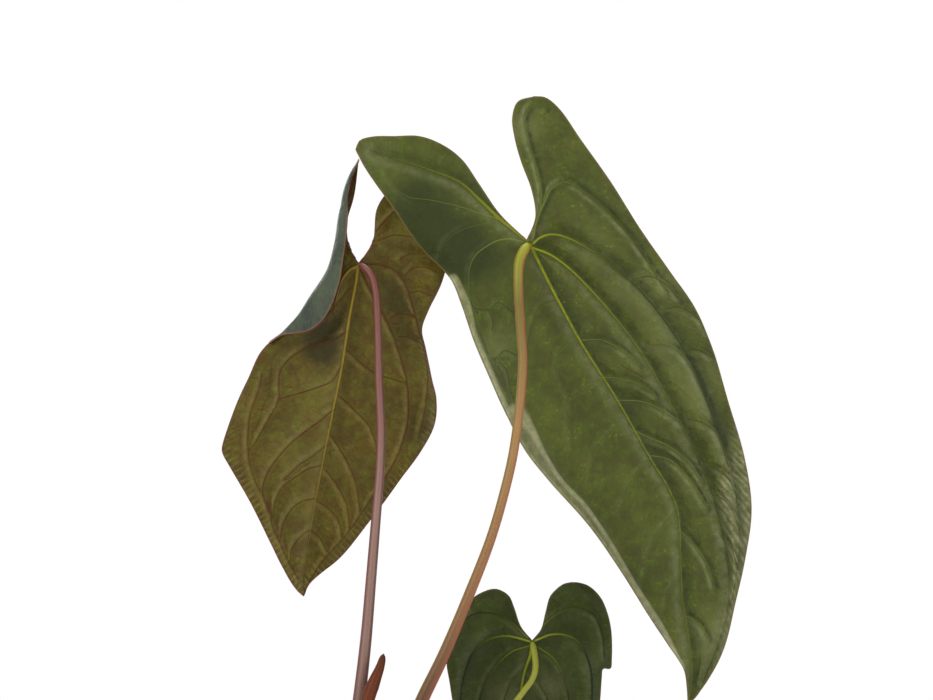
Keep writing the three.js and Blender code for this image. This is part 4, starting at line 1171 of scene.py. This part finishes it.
def add_leaf(leaf, back, face, rim, stalk, rows=180):
    """A leaf's blade, with a finish for its back, its face and its rim, and its stalk."""
    sizes, colours = settings()
    kind = leaf["name"].split("_")[1]
    ground = tuple(getattr(colours, kind + "_back"))
    finishes = [blade_finish(kind + "_back", coloured(back, ground)),
                blade_finish(kind + "_face", coloured(face, tuple(colours.face))),
                Finish(kind + "_edge", base_color=srgb(*rim), roughness=0.5).material]
    build_blade(leaf, sizes, finishes)
    name = leaf["name"] + "_stalk"
    tube = tube_patch(leaf["stalk"]["path"], leaf["stalk"]["radii"], rows, 28)
    closed_piece(name + "_fine", [tube], stalk_finish(kind + "_stalk_skin", stalk), (name,))


class ANTHURIUM_OT_large_leaf(bpy.types.Operator):
    """Adds the large leaf's blade and stalk"""
    bl_idname = "anthurium.large_leaf"
    bl_label = "Large leaf"

    def execute(self, context):
        add_leaf(LARGE_LEAF, LARGE_BACK, FACE, (104, 82, 48), LARGE_STALK)
        return {"FINISHED"}


class ANTHURIUM_OT_left_leaf(bpy.types.Operator):
    """Adds the left leaf's blade, with its rolled lobe, and its stalk"""
    bl_idname = "anthurium.left_leaf"
    bl_label = "Left leaf"

    def execute(self, context):
        add_leaf(LEFT_LEAF, LEFT_BACK, LEFT_FACE, (96, 56, 42), LEFT_STALK)
        return {"FINISHED"}


class ANTHURIUM_OT_small_leaf(bpy.types.Operator):
    """Adds the small leaf's blade and stalk"""
    bl_idname = "anthurium.small_leaf"
    bl_label = "Small leaf"

    def execute(self, context):
        add_leaf(SMALL_LEAF, SMALL_BACK, FACE, (84, 72, 42), SMALL_STALK, 140)
        return {"FINISHED"}


class ANTHURIUM_OT_shoot(bpy.types.Operator):
    """Adds the new shoot"""
    bl_idname = "anthurium.shoot"
    bl_label = "New shoot"

    def execute(self, context):
        tube = tube_patch(SHOOT["path"], SHOOT["radii"], 90, 28)
        closed_piece("new_shoot_fine", [tube], stalk_finish("shoot_skin", SHOOT_SKIN),
                     ("new_shoot",))
        return {"FINISHED"}


class ANTHURIUM_OT_stem(bpy.types.Operator):
    """Adds the scarred stem and the roots that leave it"""
    bl_idname = "anthurium.stem"
    bl_label = "Stem and roots"

    def execute(self, context):
        skin = bark_finish("stem_bark", srgb(74, 62, 38), srgb(112, 98, 62), srgb(48, 38, 24))
        closed_piece("stem_fine", [(130, 72, stem_point)], skin, ("stem",))
        patches = []
        for heading, height, reach in AERIAL_ROOTS:
            turn = math.radians(heading)
            way = [(STEM["radius"] - 4, height), (STEM["radius"] + 2, height + 1), (reach * 0.7, height - 4),
                   (reach * 0.95, height - 14), (reach, height - 34)]
            path = [(math.cos(turn) * out, math.sin(turn) * out, up) for out, up in way]
            radii = [ROOT_RADIUS * share for share in (1, 1, 0.9, 0.75, 0.5)]
            patches.append(tube_patch(path, radii, 70, 18))
        skin = bark_finish("root_skin", srgb(120, 112, 84), srgb(168, 160, 132), srgb(86, 74, 50))
        closed_piece("aerial_roots", patches, skin)
        return {"FINISHED"}


class ANTHURIUM_OT_mix(bpy.types.Operator):
    """Adds the potting mix with bark chips and perlite on it"""
    bl_idname = "anthurium.mix"
    bl_label = "Potting mix"

    def execute(self, context):
        sizes, _ = settings()
        soil = bark_finish("mix_crumb", srgb(40, 30, 22), srgb(72, 54, 38), srgb(22, 16, 12), scale=2.2)
        closed_piece("mix_body", [(120, 160, mix_point)], soil, ("potting_mix",))
        rng = random.Random(7)
        chips = [rough_block(rng, (1, 0.62, 0.4), "cube") for _ in range(6)]
        bark = chip_finish("bark_chip", srgb(58, 42, 31), srgb(110, 80, 56), srgb(34, 26, 20))
        scatter("bark_chips", chips, sizes.bark_chips, (4.5, 10), rng, bark)
        grains = [rough_block(rng, (1, 0.85, 0.8), "ball") for _ in range(4)]
        white = chip_finish("perlite_grain", srgb(196, 192, 182), srgb(232, 229, 222), srgb(168, 160, 146))
        scatter("perlite_grains", grains, sizes.perlite, (1.6, 3.2), rng, white)
        return {"FINISHED"}


class ANTHURIUM_OT_pot(bpy.types.Operator):
    """Adds the nursery pot with its rolled rim and drainage holes"""
    bl_idname = "anthurium.pot"
    bl_label = "Pot"

    def execute(self, context):
        _, colours = settings()
        pot = finish_piece(spun(pot_outline(), 144), "pot_fine", [pot_finish(tuple(colours.pot))],
                           replaces=("pot",))
        cutter_mesh = bmesh.new()
        for i in range(POT["drain_holes"]):
            turn = 2 * math.pi * i / POT["drain_holes"]
            place = Vector((math.cos(turn), math.sin(turn), 0)) * POT["drain_circle"] * MM
            bmesh.ops.create_cone(cutter_mesh, cap_ends=True, segments=40, radius1=POT["drain_radius"] * MM,
                                  radius2=POT["drain_radius"] * MM, depth=4 * POT["floor"] * MM,
                                  matrix=Matrix.Translation(place))
        cut_through(pot, cutter_mesh)
        return {"FINISHED"}


PHOTO_WIDTH_PX, MM_PER_PIXEL = 933, 0.45
PHOTO_MIDDLE = (0.0515, 0.03, 0.361)
CAMERA_DISTANCE = 8.5
FLOOR_RADIUS = 4
LEAVES = Vector((0.05, 0.02, 0.33))  # the middle of the plant's leaves
# Soft lights: name, place, width in metres and power in watts
LIGHTS = [
    ("key_softbox", (-1.25, -1.6, 1.2), 0.8, 36),
    ("fill_softbox", (1.4, -1.5, 0.7), 1.0, 17),
    ("top_softbox", (0.1, 0.3, 1.9), 1.2, 30),
]


class ANTHURIUM_OT_stage(bpy.types.Operator):
    """Adds the floor, the lights and the camera"""
    bl_idname = "anthurium.stage"
    bl_label = "Stage"

    def execute(self, context):
        _, colours = settings()
        scene = context.scene
        scene.view_settings.view_transform = "Standard"
        bm = bmesh.new()
        bmesh.ops.create_circle(bm, cap_ends=True, segments=96, radius=FLOOR_RADIUS)
        mesh = mesh_of(bm, "floor")
        # The floor glows, faintly in the middle and more towards its rim: painted light that fades it into
        # the white backdrop
        paper = Finish("floor_paper", base_color=tuple(colours.floor), roughness=0.9, emission_strength=1.0)
        place = paper.node("ShaderNodeVectorMath", {"operation": "LENGTH"}, {0: paper.place()}, "Value")
        glow = paper.mix(place.between(0.4, 2.6), (0.12, 0.12, 0.12), (0.8, 0.8, 0.8))
        paper.feed(emission_color=glow)
        mesh.materials.append(paper.material)
        floor = placed("floor", mesh)
        for light in LIGHTS:
            self.light(*light)
        self.world(scene)
        self.camera(scene)
        return {"FINISHED"}

    def light(self, name, place, size, power):
        """A square soft light that faces the leaves."""
        data = bpy.data.lights.new(name, "AREA")
        data.shape, data.size, data.energy = "SQUARE", size, power
        lamp = placed(name, data)
        lamp.location = place
        lamp.rotation_euler = (LEAVES - Vector(place)).to_track_quat("-Z", "Y").to_euler()
        lamp.visible_camera = False

    def world(self, scene):
        """White behind the plant and dimmer behind the camera; the camera always sees it white."""
        world = bpy.data.worlds.new("studio")
        world.use_nodes = True
        nodes = Nodes(world.node_tree)
        way = nodes.node("ShaderNodeTexCoord", {}, {}, "Generated")
        back = nodes.node("ShaderNodeSeparateXYZ", {}, {0: way}, "Y")
        strength = nodes.node("ShaderNodeMapRange", {}, {
            "Value": back, "From Min": -0.6, "From Max": 0.5, "To Min": 0.06, "To Max": 1.0})
        lit = nodes.node("ShaderNodeBackground", {}, {"Color": (1, 1, 1), "Strength": strength})
        white = nodes.node("ShaderNodeBackground", {}, {"Color": (1, 1, 1), "Strength": 1.0})
        seen = nodes.node("ShaderNodeLightPath", {}, {}, "Is Camera Ray")
        nodes.end("ShaderNodeOutputWorld", nodes.node("ShaderNodeMixShader", {}, {0: seen, 1: lit, 2: white}))
        scene.world = world

    def camera(self, scene):
        """Level with the leaves and square on to their backs, framed as the photograph is."""
        data = bpy.data.cameras.new("camera")
        data.sensor_width = 36
        data.lens = data.sensor_width * CAMERA_DISTANCE / (PHOTO_WIDTH_PX * MM_PER_PIXEL * MM)
        data.clip_end = 100
        camera = placed("camera", data)
        camera.location = (PHOTO_MIDDLE[0], PHOTO_MIDDLE[1] - CAMERA_DISTANCE, PHOTO_MIDDLE[2])
        camera.rotation_euler = (math.radians(90), 0, 0)
        scene.camera = camera


class ANTHURIUM_PT_panel(bpy.types.Panel):
    """Lists the plant's pieces in the sidebar"""
    bl_label = "Anthurium"
    bl_idname = "ANTHURIUM_PT_panel"
    bl_space_type = "VIEW_3D"
    bl_region_type = "UI"
    bl_category = "Anthurium"

    def draw(self, context):
        for group in (context.scene.anthurium_sizes, context.scene.anthurium_colours):
            for key in group.bl_rna.properties.keys():
                if key not in {"rna_type", "name"}:
                    self.layout.prop(group, key)
        for operator in OPERATORS:
            self.layout.operator(operator.bl_idname)


OPERATORS = [
    ANTHURIUM_OT_stage,
    ANTHURIUM_OT_large_leaf,
    ANTHURIUM_OT_left_leaf,
    ANTHURIUM_OT_small_leaf,
    ANTHURIUM_OT_shoot,
    ANTHURIUM_OT_stem,
    ANTHURIUM_OT_mix,
    ANTHURIUM_OT_pot,
]
GROUPS = [PlantSizes, PlantColours]


def register():
    for kind in GROUPS + OPERATORS + [ANTHURIUM_PT_panel]:
        bpy.utils.register_class(kind)
    bpy.types.Scene.anthurium_sizes = bpy.props.PointerProperty(type=PlantSizes)
    bpy.types.Scene.anthurium_colours = bpy.props.PointerProperty(type=PlantColours)


def unregister():
    del bpy.types.Scene.anthurium_sizes
    del bpy.types.Scene.anthurium_colours
    for kind in reversed(GROUPS + OPERATORS + [ANTHURIUM_PT_panel]):
        bpy.utils.unregister_class(kind)


def main():
    register()
    for operator in OPERATORS:
        group, name = operator.bl_idname.split(".")
        getattr(getattr(bpy.ops, group), name)()


if __name__ == "__main__":
    main()
